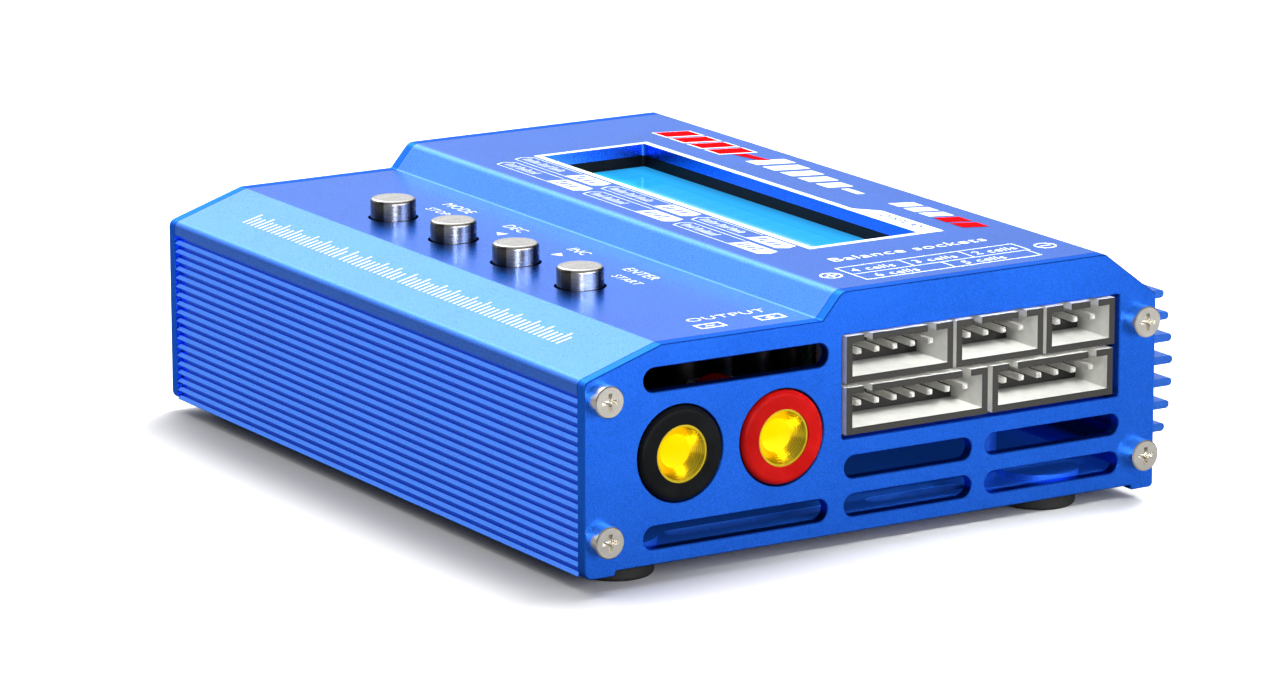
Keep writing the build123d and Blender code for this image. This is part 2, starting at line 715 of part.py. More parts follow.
with BuildPart() as sensor_pins:
    for depth in pin_depths(3, sensor_left):
        square_pin(Vector(-header_back + 1.0, y_at(depth), z_at(main_board_top + pin_height)),
                   Vector(-1, 0, 0), rim_x - pin_inset - header_back + 1.0)
sensor_pins.part.label = "sensor_pins"
export_step(sensor_pins.part, "parts/sensor_pins.step")

# ---------------------------------------------------------------- fan

fan_bottom = floor_top
fan_top = fan_bottom + fan_height
fan_bore = 19.0
blade_count = 7
blade_radius = 18.4
rotor_hub = 8.5
rotor_low = fan_bottom + 0.6
rotor_high = fan_bottom + 5.5
cup_depth = rotor_high - rotor_low
stator_plate = fan_top - 1.0
bearing_radius = 2.4

with BuildPart() as fan_frame:
    block((-fan_size / 2, fan_size / 2), (fan_depth - fan_size / 2, fan_depth + fan_size / 2),
          (fan_bottom, fan_top))
    fillet(fan_frame.edges().filter_by(Axis.Z), 2.5)
    post(0, fan_depth, (fan_bottom - 1, fan_top + 1), fan_bore, Mode.SUBTRACT)
    post(0, fan_depth, (stator_plate, fan_top), 9.0)
    for angle in (0, 90):
        with Locations((0, y_at(fan_depth), z_at((stator_plate + fan_top) / 2))):
            Box(2 * fan_bore + 0.6, 2.4, 1.0, rotation=(0, 0, angle + 20))
    post(0, fan_depth, (rotor_low + 1.2, stator_plate), bearing_radius)
    post(0, fan_depth, (rotor_low + 1.1, fan_top - 0.4), 1.05, Mode.SUBTRACT)
    for x, depth in fan_screw_places:
        post(x, depth, (fan_bottom - 1, fan_top + 1), 1.42, Mode.SUBTRACT)
fan_frame.part.label = "fan_frame"
export_step(fan_frame.part, "parts/fan_frame.step")

with BuildPart() as fan_coil:
    post(0, fan_depth, (rotor_low + 1.7, rotor_high - 0.6), 6.7)
    post(0, fan_depth, (rotor_low + 1.6, rotor_high), bearing_radius, Mode.SUBTRACT)
fan_coil.part.label = "fan_coil"
export_step(fan_coil.part, "parts/fan_coil.step")

with BuildPart() as fan_rotor:
    middle = Vector(0, y_at(fan_depth), z_at((rotor_low + rotor_high) / 2))
    for i in range(blade_count):
        outward = Vector(1, 0, 0).rotate(Axis.Z, i * 360 / blade_count)
        along = Vector(0, 1, 0).rotate(Axis.Z, i * 360 / blade_count)
        with BuildSketch(Plane(origin=middle + outward * (rotor_hub - 0.5), x_dir=along, z_dir=outward)):
            with BuildLine():
                Polyline((-3.0, -2.2), (-2.0, -2.35), (3.0, 2.2), (2.0, 2.35), close=True)
            make_face()
        extrude(amount=blade_radius - rotor_hub + 1.5)
    with BuildSketch(Plane.XY.offset(z_at(rotor_low - 1))):
        with Locations((0, y_at(fan_depth))):
            Circle(blade_radius)
    extrude(amount=fan_height, mode=Mode.INTERSECT)
    post(0, fan_depth, (rotor_low, rotor_high), rotor_hub, Mode.SUBTRACT)
    turned(Vector(0, y_at(fan_depth), z_at(rotor_low)), Vector(0, 0, 1),
           [(0, 0), (rotor_hub - 0.5, 0), (rotor_hub, 0.5), (rotor_hub, cup_depth),
            (rotor_hub - 1.0, cup_depth), (rotor_hub - 1.0, 0.9), (1.0, 0.9), (1.0, 0.3), (0, 0.3)])
fan_rotor.part.label = "fan_rotor"
export_step(fan_rotor.part, "parts/fan_rotor.step")

with BuildPart() as fan_shaft:
    post(0, fan_depth, (rotor_low + 0.3, fan_top - 0.8), 1.0)
fan_shaft.part.label = "fan_shaft"
export_step(fan_shaft.part, "parts/fan_shaft.step")

# ---------------------------------------------------------------- power parts on the main board

transistor_depths = [18.0 + i * 8.2 for i in range(6)]
transistor_x = -34.0
transistor_height = 2.3
pad_thickness = 0.5
pad_top = main_board_bottom - transistor_height

with BuildPart() as power_transistors:
    for depth in transistor_depths:
        block((transistor_x - 3.3, transistor_x + 3.3), (depth - 3.05, depth + 3.05),
              (pad_top, main_board_bottom))
power_transistors.part.label = "power_transistors"
export_step(power_transistors.part, "parts/power_transistors.step")

heat_range = (transistor_depths[0] - 4, transistor_depths[-1] + 4)

with BuildPart() as thermal_pad:
    block((transistor_x - 4.5, transistor_x + 4.5), heat_range, (pad_top - pad_thickness, pad_top))
thermal_pad.part.label = "thermal_pad"
export_step(thermal_pad.part, "parts/thermal_pad.step")

with BuildPart() as heat_block:
    block((transistor_x - 5, transistor_x + 5), heat_range, (floor_top, pad_top - pad_thickness))
heat_block.part.label = "heat_block"
export_step(heat_block.part, "parts/heat_block.step")

with BuildPart() as power_inductors:
    for x in (-18.0, -2.0):
        block((x - 6, x + 6), (42, 54), (main_board_top, main_board_top + 6.8))
    fillet(power_inductors.edges().filter_by(Axis.Z), 2.0)
    chamfer(power_inductors.edges().group_by(Axis.Z)[-1], 0.6)
power_inductors.part.label = "power_inductors"
export_step(power_inductors.part, "parts/power_inductors.step")

capacitor_places = [(12.0, 44.0), (12.0, 52.0), (20.0, 44.0), (20.0, 52.0)]

with BuildPart() as filter_capacitors:
    for x, depth in capacitor_places:
        post(x, depth, (main_board_top, main_board_top + 7.2), 3.15)
    fillet(filter_capacitors.edges().group_by(Axis.Z)[-1], 0.5)
filter_capacitors.part.label = "filter_capacitors"
export_step(filter_capacitors.part, "parts/filter_capacitors.step")

with BuildPart() as control_chips:
    for x, depth, length, width, height in ((-14.0, 18.0, 10.0, 10.0, 1.4), (2.0, 12.0, 5.0, 4.0, 1.5),
                                            (2.0, 20.0, 5.0, 4.0, 1.5), (28.0, 58.0, 4.0, 9.9, 1.5)):
        block((x - length / 2, x + length / 2), (depth - width / 2, depth + width / 2),
              (main_board_top, main_board_top + height))
control_chips.part.label = "control_chips"
export_step(control_chips.part, "parts/control_chips.step")

with BuildPart() as buzzer:
    post(18.0, 17.0, (main_board_top, main_board_top + 5.5), 4.5)
    fillet(buzzer.edges().group_by(Axis.Z)[-1], 0.4)
    post(18.0, 17.0, (main_board_top + 4.5, main_board_top + 6), 1.0, Mode.SUBTRACT)
buzzer.part.label = "buzzer"
export_step(buzzer.part, "parts/buzzer.step")
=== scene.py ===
"""Looks of a small balance charger for hobby battery packs.

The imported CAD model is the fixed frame. This script gives every CAD node its finish and adds the
printed marks, the solder and the small parts on the boards, in metres and in the part's own frame:
X runs along the case to the output sockets, Y from the ribbed front to the finned back, Z is up.
"""

import logging
import math
from collections.abc import Sequence
from dataclasses import dataclass, field
from enum import Enum
from typing import ClassVar

import bmesh
import bpy
from mathutils import Matrix, Vector


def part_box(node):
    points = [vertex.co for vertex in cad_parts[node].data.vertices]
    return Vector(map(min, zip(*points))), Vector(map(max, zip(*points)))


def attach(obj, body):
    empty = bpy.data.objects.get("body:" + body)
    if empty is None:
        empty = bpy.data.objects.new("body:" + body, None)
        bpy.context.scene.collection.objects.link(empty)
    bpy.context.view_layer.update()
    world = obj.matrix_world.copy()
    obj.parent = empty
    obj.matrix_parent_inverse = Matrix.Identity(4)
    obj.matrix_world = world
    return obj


MM = 0.001
MATH = "ShaderNodeMath"
VECTOR_MATH = "ShaderNodeVectorMath"
VORONOI = "ShaderNodeTexVoronoi"
BLACK = (0.0, 0.0, 0.0)
Colour = tuple[float, float, float]
Size = tuple[float, float, float]
Point = tuple[float, float]

logging.basicConfig(level=logging.INFO, format="%(name)s: %(message)s")
log = logging.getLogger("charger")

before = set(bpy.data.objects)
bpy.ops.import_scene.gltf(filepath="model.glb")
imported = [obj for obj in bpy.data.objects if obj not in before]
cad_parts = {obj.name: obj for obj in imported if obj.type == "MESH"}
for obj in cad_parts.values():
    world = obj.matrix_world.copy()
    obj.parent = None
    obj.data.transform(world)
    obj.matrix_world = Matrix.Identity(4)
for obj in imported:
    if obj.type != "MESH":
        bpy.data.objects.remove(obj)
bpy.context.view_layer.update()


def shade(colour: Colour, share: float, lift: float = 0.0) -> Colour:
    """A colour times share plus lift, at most 1."""
    return tuple(min(1.0, share * part + lift) for part in colour)


# ---------------------------------------------------------------- node sheets


class Value:
    """A node's output socket. Python's operators on it add Math nodes."""

    def __init__(self, sheet: "NodeSheet", socket: bpy.types.NodeSocket) -> None:
        """Keeps the sheet that new nodes go to, and the socket.

        Args:
            sheet: The node sheet that the socket belongs to.
            socket: The output socket.
        """
        self.sheet = sheet
        self.socket = socket

    def _math(self, operation: str, *values: "Value | float") -> "Value":
        """Adds one Math node.

        Args:
            operation: The Math node's operation.
            values: Its inputs in order.

        Returns:
            The node's result.
        """
        return self.sheet.node(MATH, {"operation": operation}, dict(enumerate(values)))

    def __add__(self, other: "Value | float") -> "Value":
        """Self plus other."""
        return self._math("ADD", self, other)

    def __radd__(self, other: float) -> "Value":
        """Other plus self."""
        return self._math("ADD", other, self)

    def __sub__(self, other: "Value | float") -> "Value":
        """Self minus other."""
        return self._math("SUBTRACT", self, other)

    def __rsub__(self, other: float) -> "Value":
        """Other minus self."""
        return self._math("SUBTRACT", other, self)

    def __mul__(self, other: "Value | float") -> "Value":
        """Self times other."""
        return self._math("MULTIPLY", self, other)

    def __rmul__(self, other: float) -> "Value":
        """Other times self."""
        return self._math("MULTIPLY", other, self)

    def __truediv__(self, other: "Value | float") -> "Value":
        """Self over other."""
        return self._math("DIVIDE", self, other)

    def __mod__(self, other: "Value | float") -> "Value":
        """Self modulo other, never negative."""
        return self._math("FLOORED_MODULO", self, other)

    def __pow__(self, other: "Value | float") -> "Value":
        """Self to the power of other."""
        return self._math("POWER", self, other)

    def __rpow__(self, other: float) -> "Value":
        """Other to the power of self."""
        return self._math("POWER", other, self)

    def __gt__(self, other: "Value | float") -> "Value":
        """1 where self is above other, else 0."""
        return self._math("GREATER_THAN", self, other)

    def __lt__(self, other: "Value | float") -> "Value":
        """1 where self is below other, else 0."""
        return self._math("LESS_THAN", self, other)

    def size(self) -> "Value":
        """The value without its sign."""
        return self._math("ABSOLUTE", self)

    def ramp(self, low: float, high: float) -> "Value":
        """Rises smoothly from 0 at low to 1 at high.

        Args:
            low: The value that gives 0.
            high: The value that gives 1.

        Returns:
            The smooth step.
        """
        settings = {"interpolation_type": "SMOOTHSTEP"}
        return self.sheet.node("ShaderNodeMapRange", settings, {0: self, 1: low, 2: high})


class NodeSheet:
    """A node tree of any kind, with the one method that adds a node to it."""

    def __init__(self, tree: bpy.types.NodeTree) -> None:
        """Keeps the tree that nodes are added to."""
        self.tree = tree

    def node(
        self,
        kind: str,
        settings: dict[str, object] | None = None,
        inputs: dict[int | str, object] | None = None,
        output: int | str = 0,
    ) -> Value:
        """Adds a node.

        Args:
            kind: The node's type name.
            settings: The node's own options, set before its inputs. "stops" fills a colour ramp.
            inputs: Values or links for its input sockets, by index or name.
            output: The output socket that is wanted.

        Returns:
            That output.
        """
        made = self.tree.nodes.new(kind)
        for name, value in (settings or {}).items():
            if name == "stops":
                elements = made.color_ramp.elements
                while len(elements) < len(value):
                    elements.new(1.0)
                for element, (position, colour) in zip(elements, value):
                    element.position = position
                    element.color = (*colour, 1.0)
            else:
                setattr(made, name, value)
        for key, value in (inputs or {}).items():
            self.feed(made.inputs[key], value)
        return Value(self, made.outputs[output])

    def feed(self, socket: bpy.types.NodeSocket, value: object) -> None:
        """Links a Value to an input socket, or sets the socket's own value.

        Args:
            socket: The input socket.
            value: A Value, or a plain value of the socket's kind.
        """
        if isinstance(value, Value):
            self.tree.links.new(value.socket, socket)
        else:
            socket.default_value = value


class FinishSheet(NodeSheet):
    """A material's tree round one Principled surface, on Object coordinates."""

    def __init__(self, name: str) -> None:
        """Starts the material.

        Args:
            name: The material's name.
        """
        self.material = bpy.data.materials.new(name)
        self.material.use_nodes = True
        super().__init__(self.material.node_tree)
        self.tree.nodes.clear()
        self.surface = self.tree.nodes.new("ShaderNodeBsdfPrincipled")
        output = self.tree.nodes.new("ShaderNodeOutputMaterial")
        self.tree.links.new(self.surface.outputs[0], output.inputs[0])
        self.place = self.node("ShaderNodeTexCoord", output="Object")

    def across(self, axis: str, place: Value | None = None) -> Value:
        """One coordinate of a place, in metres.

        Args:
            axis: "X", "Y" or "Z".
            place: A vector, by default the Object coordinates.

        Returns:
            The coordinate.
        """
        return self.node("ShaderNodeSeparateXYZ", None, {0: place or self.place}, axis)

    def moved(self, centre: Vector, stretch: Sequence[float] = (1.0, 1.0, 1.0)) -> Value:
        """Object coordinates measured from centre and stretched along the axes.

        Args:
            centre: The point that becomes zero.
            stretch: The factor along each axis.

        Returns:
            The coordinates.
        """
        shifted = self.node(VECTOR_MATH, {"operation": "SUBTRACT"}, {0: self.place, 1: centre})
        return self.node(VECTOR_MATH, {"operation": "MULTIPLY"}, {0: shifted, 1: stretch})

    def noise(self, grain: float, detail: float = 2.0, place: Value | None = None) -> Value:
        """Soft noise whose features are about grain across.

        Args:
            grain: The feature size in metres.
            detail: How many finer layers it has.
            place: The coordinates it reads.

        Returns:
            A value round 0.5.
        """
        inputs = {"Vector": place or self.place, "Scale": 1.0 / grain, "Detail": detail}
        return self.node("ShaderNodeTexNoise", None, inputs)

    def mix(self, share: Value | float, first: object, second: object) -> Value:
        """A colour between two others.

        Args:
            share: How much of the second there is, from 0 to 1.
            first: A colour, or a Value that carries one.
            second: Another.

        Returns:
            The mixed colour.
        """
        first, second = (
            (*colour, 1.0) if isinstance(colour, tuple) else colour for colour in (first, second)
        )
        return self.node("ShaderNodeMix", {"data_type": "RGBA"}, {0: share, 6: first, 7: second}, 2)

    def set(self, **sockets: object) -> None:
        """Feeds the surface's sockets.

        Args:
            sockets: Values, links or colours by socket name, with an underscore for a space.
        """
        for name, value in sockets.items():
            if isinstance(value, tuple) and len(value) == 3:
                value = (*value, 1.0)
            self.feed(self.surface.inputs[name.replace("_", " ")], value)

    def bump(self, height: Value, depth: float, strength: float = 1.0) -> None:
        """Presses a height pattern into the surface.

        Args:
            height: The pattern, from 0 to 1.
            depth: Its depth in metres.
            strength: How much of it is applied.
        """
        inputs = {"Height": height, "Distance": depth, "Strength": strength}
        self.set(Normal=self.node("ShaderNodeBump", None, inputs))


# ---------------------------------------------------------------- finishes


@dataclass(frozen=True)
class Anodised:
    """Blasted and anodised aluminium: a dyed, finely sparkling skin under a thin clear seal."""

    name: str
    colour: Colour
    metallic: float = 1.0
    roughness: float = 0.29
    grain: float = 0.13 * MM
    cloud: float = 9.0 * MM
    seal: float = 0.7
    seal_roughness: float = 0.22
    edge: Colour = (0.25, 0.55, 1.0)
    blast_depth: float = 0.025 * MM
    glow: float = 0.0
    inner_height: float = 3.6 * MM

    def material(self) -> bpy.types.Material:
        """Builds the material.

        Returns:
            The material.
        """
        sheet = FinishSheet(self.name)
        grain = sheet.noise(self.grain, 1.0)
        cloud = sheet.noise(self.cloud, 3.0)
        dark, light = shade(self.colour, 0.72), shade(self.colour, 1.22, 0.01)
        tone = (grain - 0.5) * 1.5 + (cloud - 0.5) * 0.35 + 0.5
        sheet.set(
            Base_Color=sheet.mix(tone.ramp(0.0, 1.0), dark, light),
            Metallic=self.metallic,
            Roughness=self.roughness + (grain - 0.5) * 0.14 + (cloud - 0.5) * 0.05,
            Coat_Weight=self.seal,
            Coat_Roughness=self.seal_roughness,
            Specular_Tint=self.edge,
        )
        # Painted light: faces above inner_height glow faintly in their own colour, standing for
        # light let in through the vents.
        if self.glow:
            inner = sheet.across("Z") > self.inner_height
            sheet.set(
                Emission_Color=sheet.mix(inner, BLACK, self.colour), Emission_Strength=self.glow
            )
        sheet.bump(grain, self.blast_depth, 0.8)
        return sheet.material


class Polish(Enum):
    """How a bright metal was finished."""

    TURNED = "turned"
    TUMBLED = "tumbled"
    DRAWN = "drawn"


@dataclass(frozen=True)
class BrightMetal:
    """Bare or plated metal with the marks of its last process.

    On a turned piece, the wall outside the radius rim has soft upright bands of painted shadow.
    """

    name: str
    colour: Colour
    roughness: float = 0.2
    polish: Polish = Polish.TUMBLED
    centre: Vector = Vector((0.0, 0.0, 0.0))
    mark: float = 0.05 * MM
    mark_depth: float = 0.004 * MM
    wear: float = 1.4 * MM
    rim: float = 1.0
    band: float = 0.62
    metallic: float = 1.0
    shadow: Colour = (0.03, 0.028, 0.026)

    def material(self) -> bpy.types.Material:
        """Builds the material.

        Returns:
            The material.
        """
        sheet = FinishSheet(self.name)
        place = sheet.moved(self.centre)
        painted_shadow: Value | float = 0.0
        if self.polish is Polish.TURNED:
            level = (1.0, 1.0, 0.0)
            flat = sheet.node(VECTOR_MATH, {"operation": "MULTIPLY"}, {0: place, 1: level})
            radius = sheet.node(VECTOR_MATH, {"operation": "LENGTH"}, {0: flat}, "Value")
            height = sheet.across("Z", place) * 0.6
            lines = sheet.node("ShaderNodeCombineXYZ", None, {0: radius, 1: height})
            spoke = sheet.node(VECTOR_MATH, {"operation": "NORMALIZE"}, {0: flat})
            shadow_bands = sheet.noise(self.band, 1.0, spoke)
            # Painted shadow: upright bands darken the side wall outside the rim radius.
            painted_shadow = (radius > self.rim) * (1.0 - shadow_bands.ramp(0.47, 0.56) * 0.8) * 0.85
        elif self.polish is Polish.DRAWN:
            lines = sheet.moved(self.centre, (0.03, 1.0, 1.0))
        else:
            lines = place
        marks = sheet.noise(self.mark, 3.0, lines)
        wear = sheet.noise(self.wear, 4.0, place)
        tone = (marks * 0.6 + wear * 0.4).ramp(0.3, 0.7)
        bright = sheet.mix(tone, shade(self.colour, 0.8), self.colour)
        sheet.set(
            Base_Color=sheet.mix(painted_shadow, bright, self.shadow),
            Metallic=self.metallic,
            Roughness=self.roughness + (marks - 0.5) * 0.16 + (wear - 0.5) * 0.12,
        )
        sheet.bump(marks, self.mark_depth, 0.5)
        return sheet.material


@dataclass(frozen=True)
class Moulded:
    """Moulded plastic or rubber with a fine tool texture and faint flow marks."""

    name: str
    colour: Colour
    roughness: float = 0.4
    grain: float = 0.12 * MM
    depth: float = 0.01 * MM
    flow: float = 3.5 * MM
    gloss: float = 0.0
    shine: float = 0.5

    def material(self) -> bpy.types.Material:
        """Builds the material.

        Returns:
            The material.
        """
        sheet = FinishSheet(self.name)
        grain = sheet.noise(self.grain)
        flow = sheet.noise(self.flow, 4.0)
        dark, light = shade(self.colour, 0.78), shade(self.colour, 1.1, 0.004)
        sheet.set(
            Base_Color=sheet.mix((grain * 0.35 + flow * 0.65).ramp(0.3, 0.7), dark, light),
            Roughness=self.roughness + (flow - 0.5) * 0.2,
            Coat_Weight=self.gloss,
            Coat_Roughness=0.08,
            Specular_IOR_Level=self.shine,
        )
        sheet.bump(grain, self.depth, 0.5)
        return sheet.material


@dataclass(frozen=True)
class Shroud:
    """Ivory nylon of a keyed pin shroud, dark on the rim, with painted shade darkening towards the
    wall behind the pins and a near-black painted shadow on that wall.

    The mouth and the floor are places along X, and outward is 1 or -1 along it.
    """

    name: str
    mouth: float
    floor: float
    outward: float
    skin: float = 0.03 * MM
    shaded: float = 2.2 * MM
    ivory: Colour = (0.90, 0.90, 0.86)
    rim: Colour = (0.028, 0.027, 0.025)
    back_wall_shadow: Colour = (0.022, 0.021, 0.02)

    def material(self) -> bpy.types.Material:
        """Builds the material.

        Returns:
            The material.
        """
        sheet = FinishSheet(self.name)
        reach = (sheet.across("X") - self.floor) * self.outward
        mouth_reach = (self.mouth - self.floor) * self.outward
        flow = sheet.noise(1.6 * MM, 3.0)
        grain = sheet.noise(0.1 * MM)
        body = sheet.mix(flow.ramp(0.3, 0.7), shade(self.ivory, 0.9), self.ivory)
        # Painted shade: the ivory darkens over the last few millimetres towards the wall behind the
        # pins, and that wall is painted near-black as shadow.
        shaded = sheet.mix(reach.ramp(0.0, self.shaded), shade(self.ivory, 0.55), body)
        with_back_shadow = sheet.mix(reach.ramp(self.skin, 0.25 * MM), self.back_wall_shadow, shaded)
        sheet.set(
            Base_Color=sheet.mix(reach > mouth_reach - self.skin, with_back_shadow, self.rim),
            Roughness=0.38 + (flow - 0.5) * 0.16,
            Specular_IOR_Level=0.3,
        )
        sheet.bump(grain, 0.006 * MM, 0.4)
        return sheet.material


@dataclass(frozen=True)
class GoldCup:
    """Gold plating of a banana socket: a flared mouth with turning lines and a bore lit by a
    painted glow.

    Behind the flare the outside of the tube is painted near-black as shade. The mouth is its front
    end along X.
    """

    name: str
    axis: Vector
    mouth: float
    flare: float = 1.5 * MM
    bore_depth: float = 13.0 * MM
    bore_radius: float = 2.1 * MM
    wall_radius: float = 2.2 * MM
    colour: Colour = (0.95, 0.72, 0.04)
    lit: Colour = (0.85, 0.62, 0.0)
    glow: float = 0.55
    tube_shadow: Colour = (0.02, 0.02, 0.02)

    def material(self) -> bpy.types.Material:
        """Builds the material.

        Returns:
            The material.
        """
        sheet = FinishSheet(self.name)
        place = sheet.moved(self.axis)
        y, z = sheet.across("Y", place), sheet.across("Z", place)
        radius = (y * y + z * z) ** 0.5
        rings = sheet.noise(0.06 * MM, 2.0, sheet.node("ShaderNodeCombineXYZ", None, {0: radius}))
        inside = (self.mouth - self.flare) - sheet.across("X")
        bore = (inside > 0.0) * (inside < self.bore_depth) * (radius < self.bore_radius)
        # Painted shade: the tube's outside behind the flare is near-black.
        outside = (inside > 0.0) * (radius > self.wall_radius)
        gold = sheet.mix(rings.ramp(0.3, 0.7), shade(self.colour, 0.8), self.colour)
        sheet.set(
            Base_Color=sheet.mix(outside, gold, self.tube_shadow),
            Metallic=1.0 - bore * 0.7,
            Roughness=0.26 + (rings - 0.5) * 0.2,
            # Painted light: the bore glows in the lit colour though nothing there is a lamp.
            Emission_Color=sheet.mix(bore, BLACK, self.lit),
            Emission_Strength=self.glow,
        )
        sheet.bump(rings, 0.006 * MM, 0.5)
        return sheet.material


@dataclass(frozen=True)
class SolderMask:
    """A circuit board: lacquer over copper traces, with tinned vias and the weave underneath."""

    name: str
    lacquer: Colour
    trace: Colour
    via_tin: Colour = (0.55, 0.52, 0.42)
    pitch: float = 1.6 * MM
    vias_per_metre: float = 420.0

    def material(self) -> bpy.types.Material:
        """Builds the material.

        Returns:
            The material.
        """
        sheet = FinishSheet(self.name)
        inputs = {"Vector": sheet.place, "Scale": 0.16 / self.pitch, "Randomness": 0.35}
        settings = {"distance": "MANHATTAN", "feature": "F1"}
        bands = (sheet.node(VORONOI, settings, inputs, "Distance") * 9.0) % 1.0
        trace = bands.ramp(0.42, 0.5) * (1.0 - bands.ramp(0.66, 0.74))
        inputs = {"Vector": sheet.place, "Scale": self.vias_per_metre}
        dots = sheet.node(VORONOI, {"feature": "F1"}, inputs, "Distance")
        via = 1.0 - dots.ramp(0.1, 0.14)
        weave = sheet.noise(0.2 * MM, 2.0)
        lacquer = sheet.mix(weave.ramp(0.3, 0.7), shade(self.lacquer, 0.8), self.lacquer)
        tracked = sheet.mix(trace * 0.8, lacquer, self.trace)
        sheet.set(
            Base_Color=sheet.mix(via, tracked, self.via_tin),
            Metallic=via * 0.8,
            Roughness=0.36 + (weave - 0.5) * 0.1,
            Coat_Weight=0.4,
            Coat_Roughness=0.2,
        )
        sheet.bump(trace * 0.6 + via * 0.4 + weave * 0.15, 0.03 * MM, 0.6)
        return sheet.material


@dataclass(frozen=True)
class LitDisplay:
    """The liquid-crystal glass: a cyan back light behind the faint cells of two rows of signs."""

    name: str
    low: Vector
    high: Vector
    columns: int = 16
    rows: int = 2
    near: Colour = (0.035, 0.66, 0.90)
    far: Colour = (0.022, 0.36, 0.82)
    cell_shade: Colour = (0.0, 0.09, 0.3)
    unlit: Colour = (0.0, 0.05, 0.1)
    glow: float = 0.84

    def material(self) -> bpy.types.Material:
        """Builds the material.

        Returns:
            The material.
        """
        sheet = FinishSheet(self.name)
        place = sheet.moved(self.low)
        length, width = self.high.x - self.low.x, self.high.y - self.low.y
        across, up = sheet.across("X", place) / length, sheet.across("Y", place) / width
        column = ((across * self.columns) % 1.0 - 0.5).size()
        row = ((up * (self.rows + 1.0) - 0.5) % 1.0 - 0.5).size()
        dot = ((across * (self.columns * 6.0)) % 1.0 - 0.5).size() < 0.42
        line = ((up * 30.0) % 1.0 - 0.5).size() < 0.42
        cell = (column < 0.4) * (row < 0.38) * dot * line * (up > 0.17) * (up < 0.83)
        glow = sheet.mix((up + across * 0.12).ramp(0.38, 0.62), self.near, self.far)
        haze = sheet.noise(6.0 * MM, 2.0)
        colour = sheet.mix(cell * 0.13 + (haze - 0.5).size() * 0.1, glow, self.cell_shade)
        sheet.set(
            Base_Color=sheet.mix(0.6, colour, self.unlit),
            Roughness=0.07 + haze * 0.03,
            Emission_Color=colour,
            Emission_Strength=self.glow,
            Coat_Weight=0.5,
            Coat_Roughness=0.03,
        )
        return sheet.material


@dataclass(frozen=True)
class Ink:
    """Screen-printed ink, slightly mottled where it lies on the blasted skin."""

    name: str
    colour: Colour
    shine: float = 0.12

    def material(self) -> bpy.types.Material:
        """Builds the material.

        Returns:
            The material.
        """
        sheet = FinishSheet(self.name)
        mottle = sheet.noise(0.16 * MM, 2.0)
        sheet.set(
            Base_Color=sheet.mix(mottle.ramp(0.25, 0.6), shade(self.colour, 0.84), self.colour),
            Roughness=0.5 + (mottle - 0.5) * 0.2,
            Specular_IOR_Level=self.shine,
        )
        sheet.bump(mottle, 0.006 * MM, 0.4)
        return sheet.material


# ---------------------------------------------------------------- meshes


def mesh_piece(
    name: str,
    vertices: Sequence[Vector],
    faces: Sequence[Sequence[int]],
    material: bpy.types.Material,
) -> bpy.types.Object:
    """Makes an object at the origin from points and faces.

    Args:
        name: The piece's name.
        vertices: Points in the part's frame.
        faces: Loops of point numbers, anticlockwise from outside.
        material: The piece's finish.

    Returns:
        The object.
    """
    mesh = bpy.data.meshes.new(name)
    mesh.from_pydata([tuple(v) for v in vertices], [], [tuple(f) for f in faces])
    mesh.materials.append(material)
    mesh.update()
    piece = bpy.data.objects.new(name, mesh)
    bpy.context.scene.collection.objects.link(piece)
    return piece


def settle(piece: bpy.types.Object, body: str = "case") -> bpy.types.Object:
    """Reports a finished piece and lets it ride on a CAD body.

    Args:
        piece: The finished object.
        body: The body that carries it.

    Returns:
        The same object.
    """
    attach(piece, body)
    log.info("%s: %d faces on %s", piece.name, len(piece.data.polygons), body)
    return piece


def middle(part: bmesh.types.BMVert | bmesh.types.BMEdge | bmesh.types.BMFace) -> Vector:
    """Finds the middle of a vertex, an edge or a face.

    Args:
        part: The part.

    Returns:
        The mean of its corners.
    """
    corners = [corner.co for corner in getattr(part, "verts", [])] or [part.co]
    return sum(corners, Vector((0.0, 0.0, 0.0))) / len(corners)


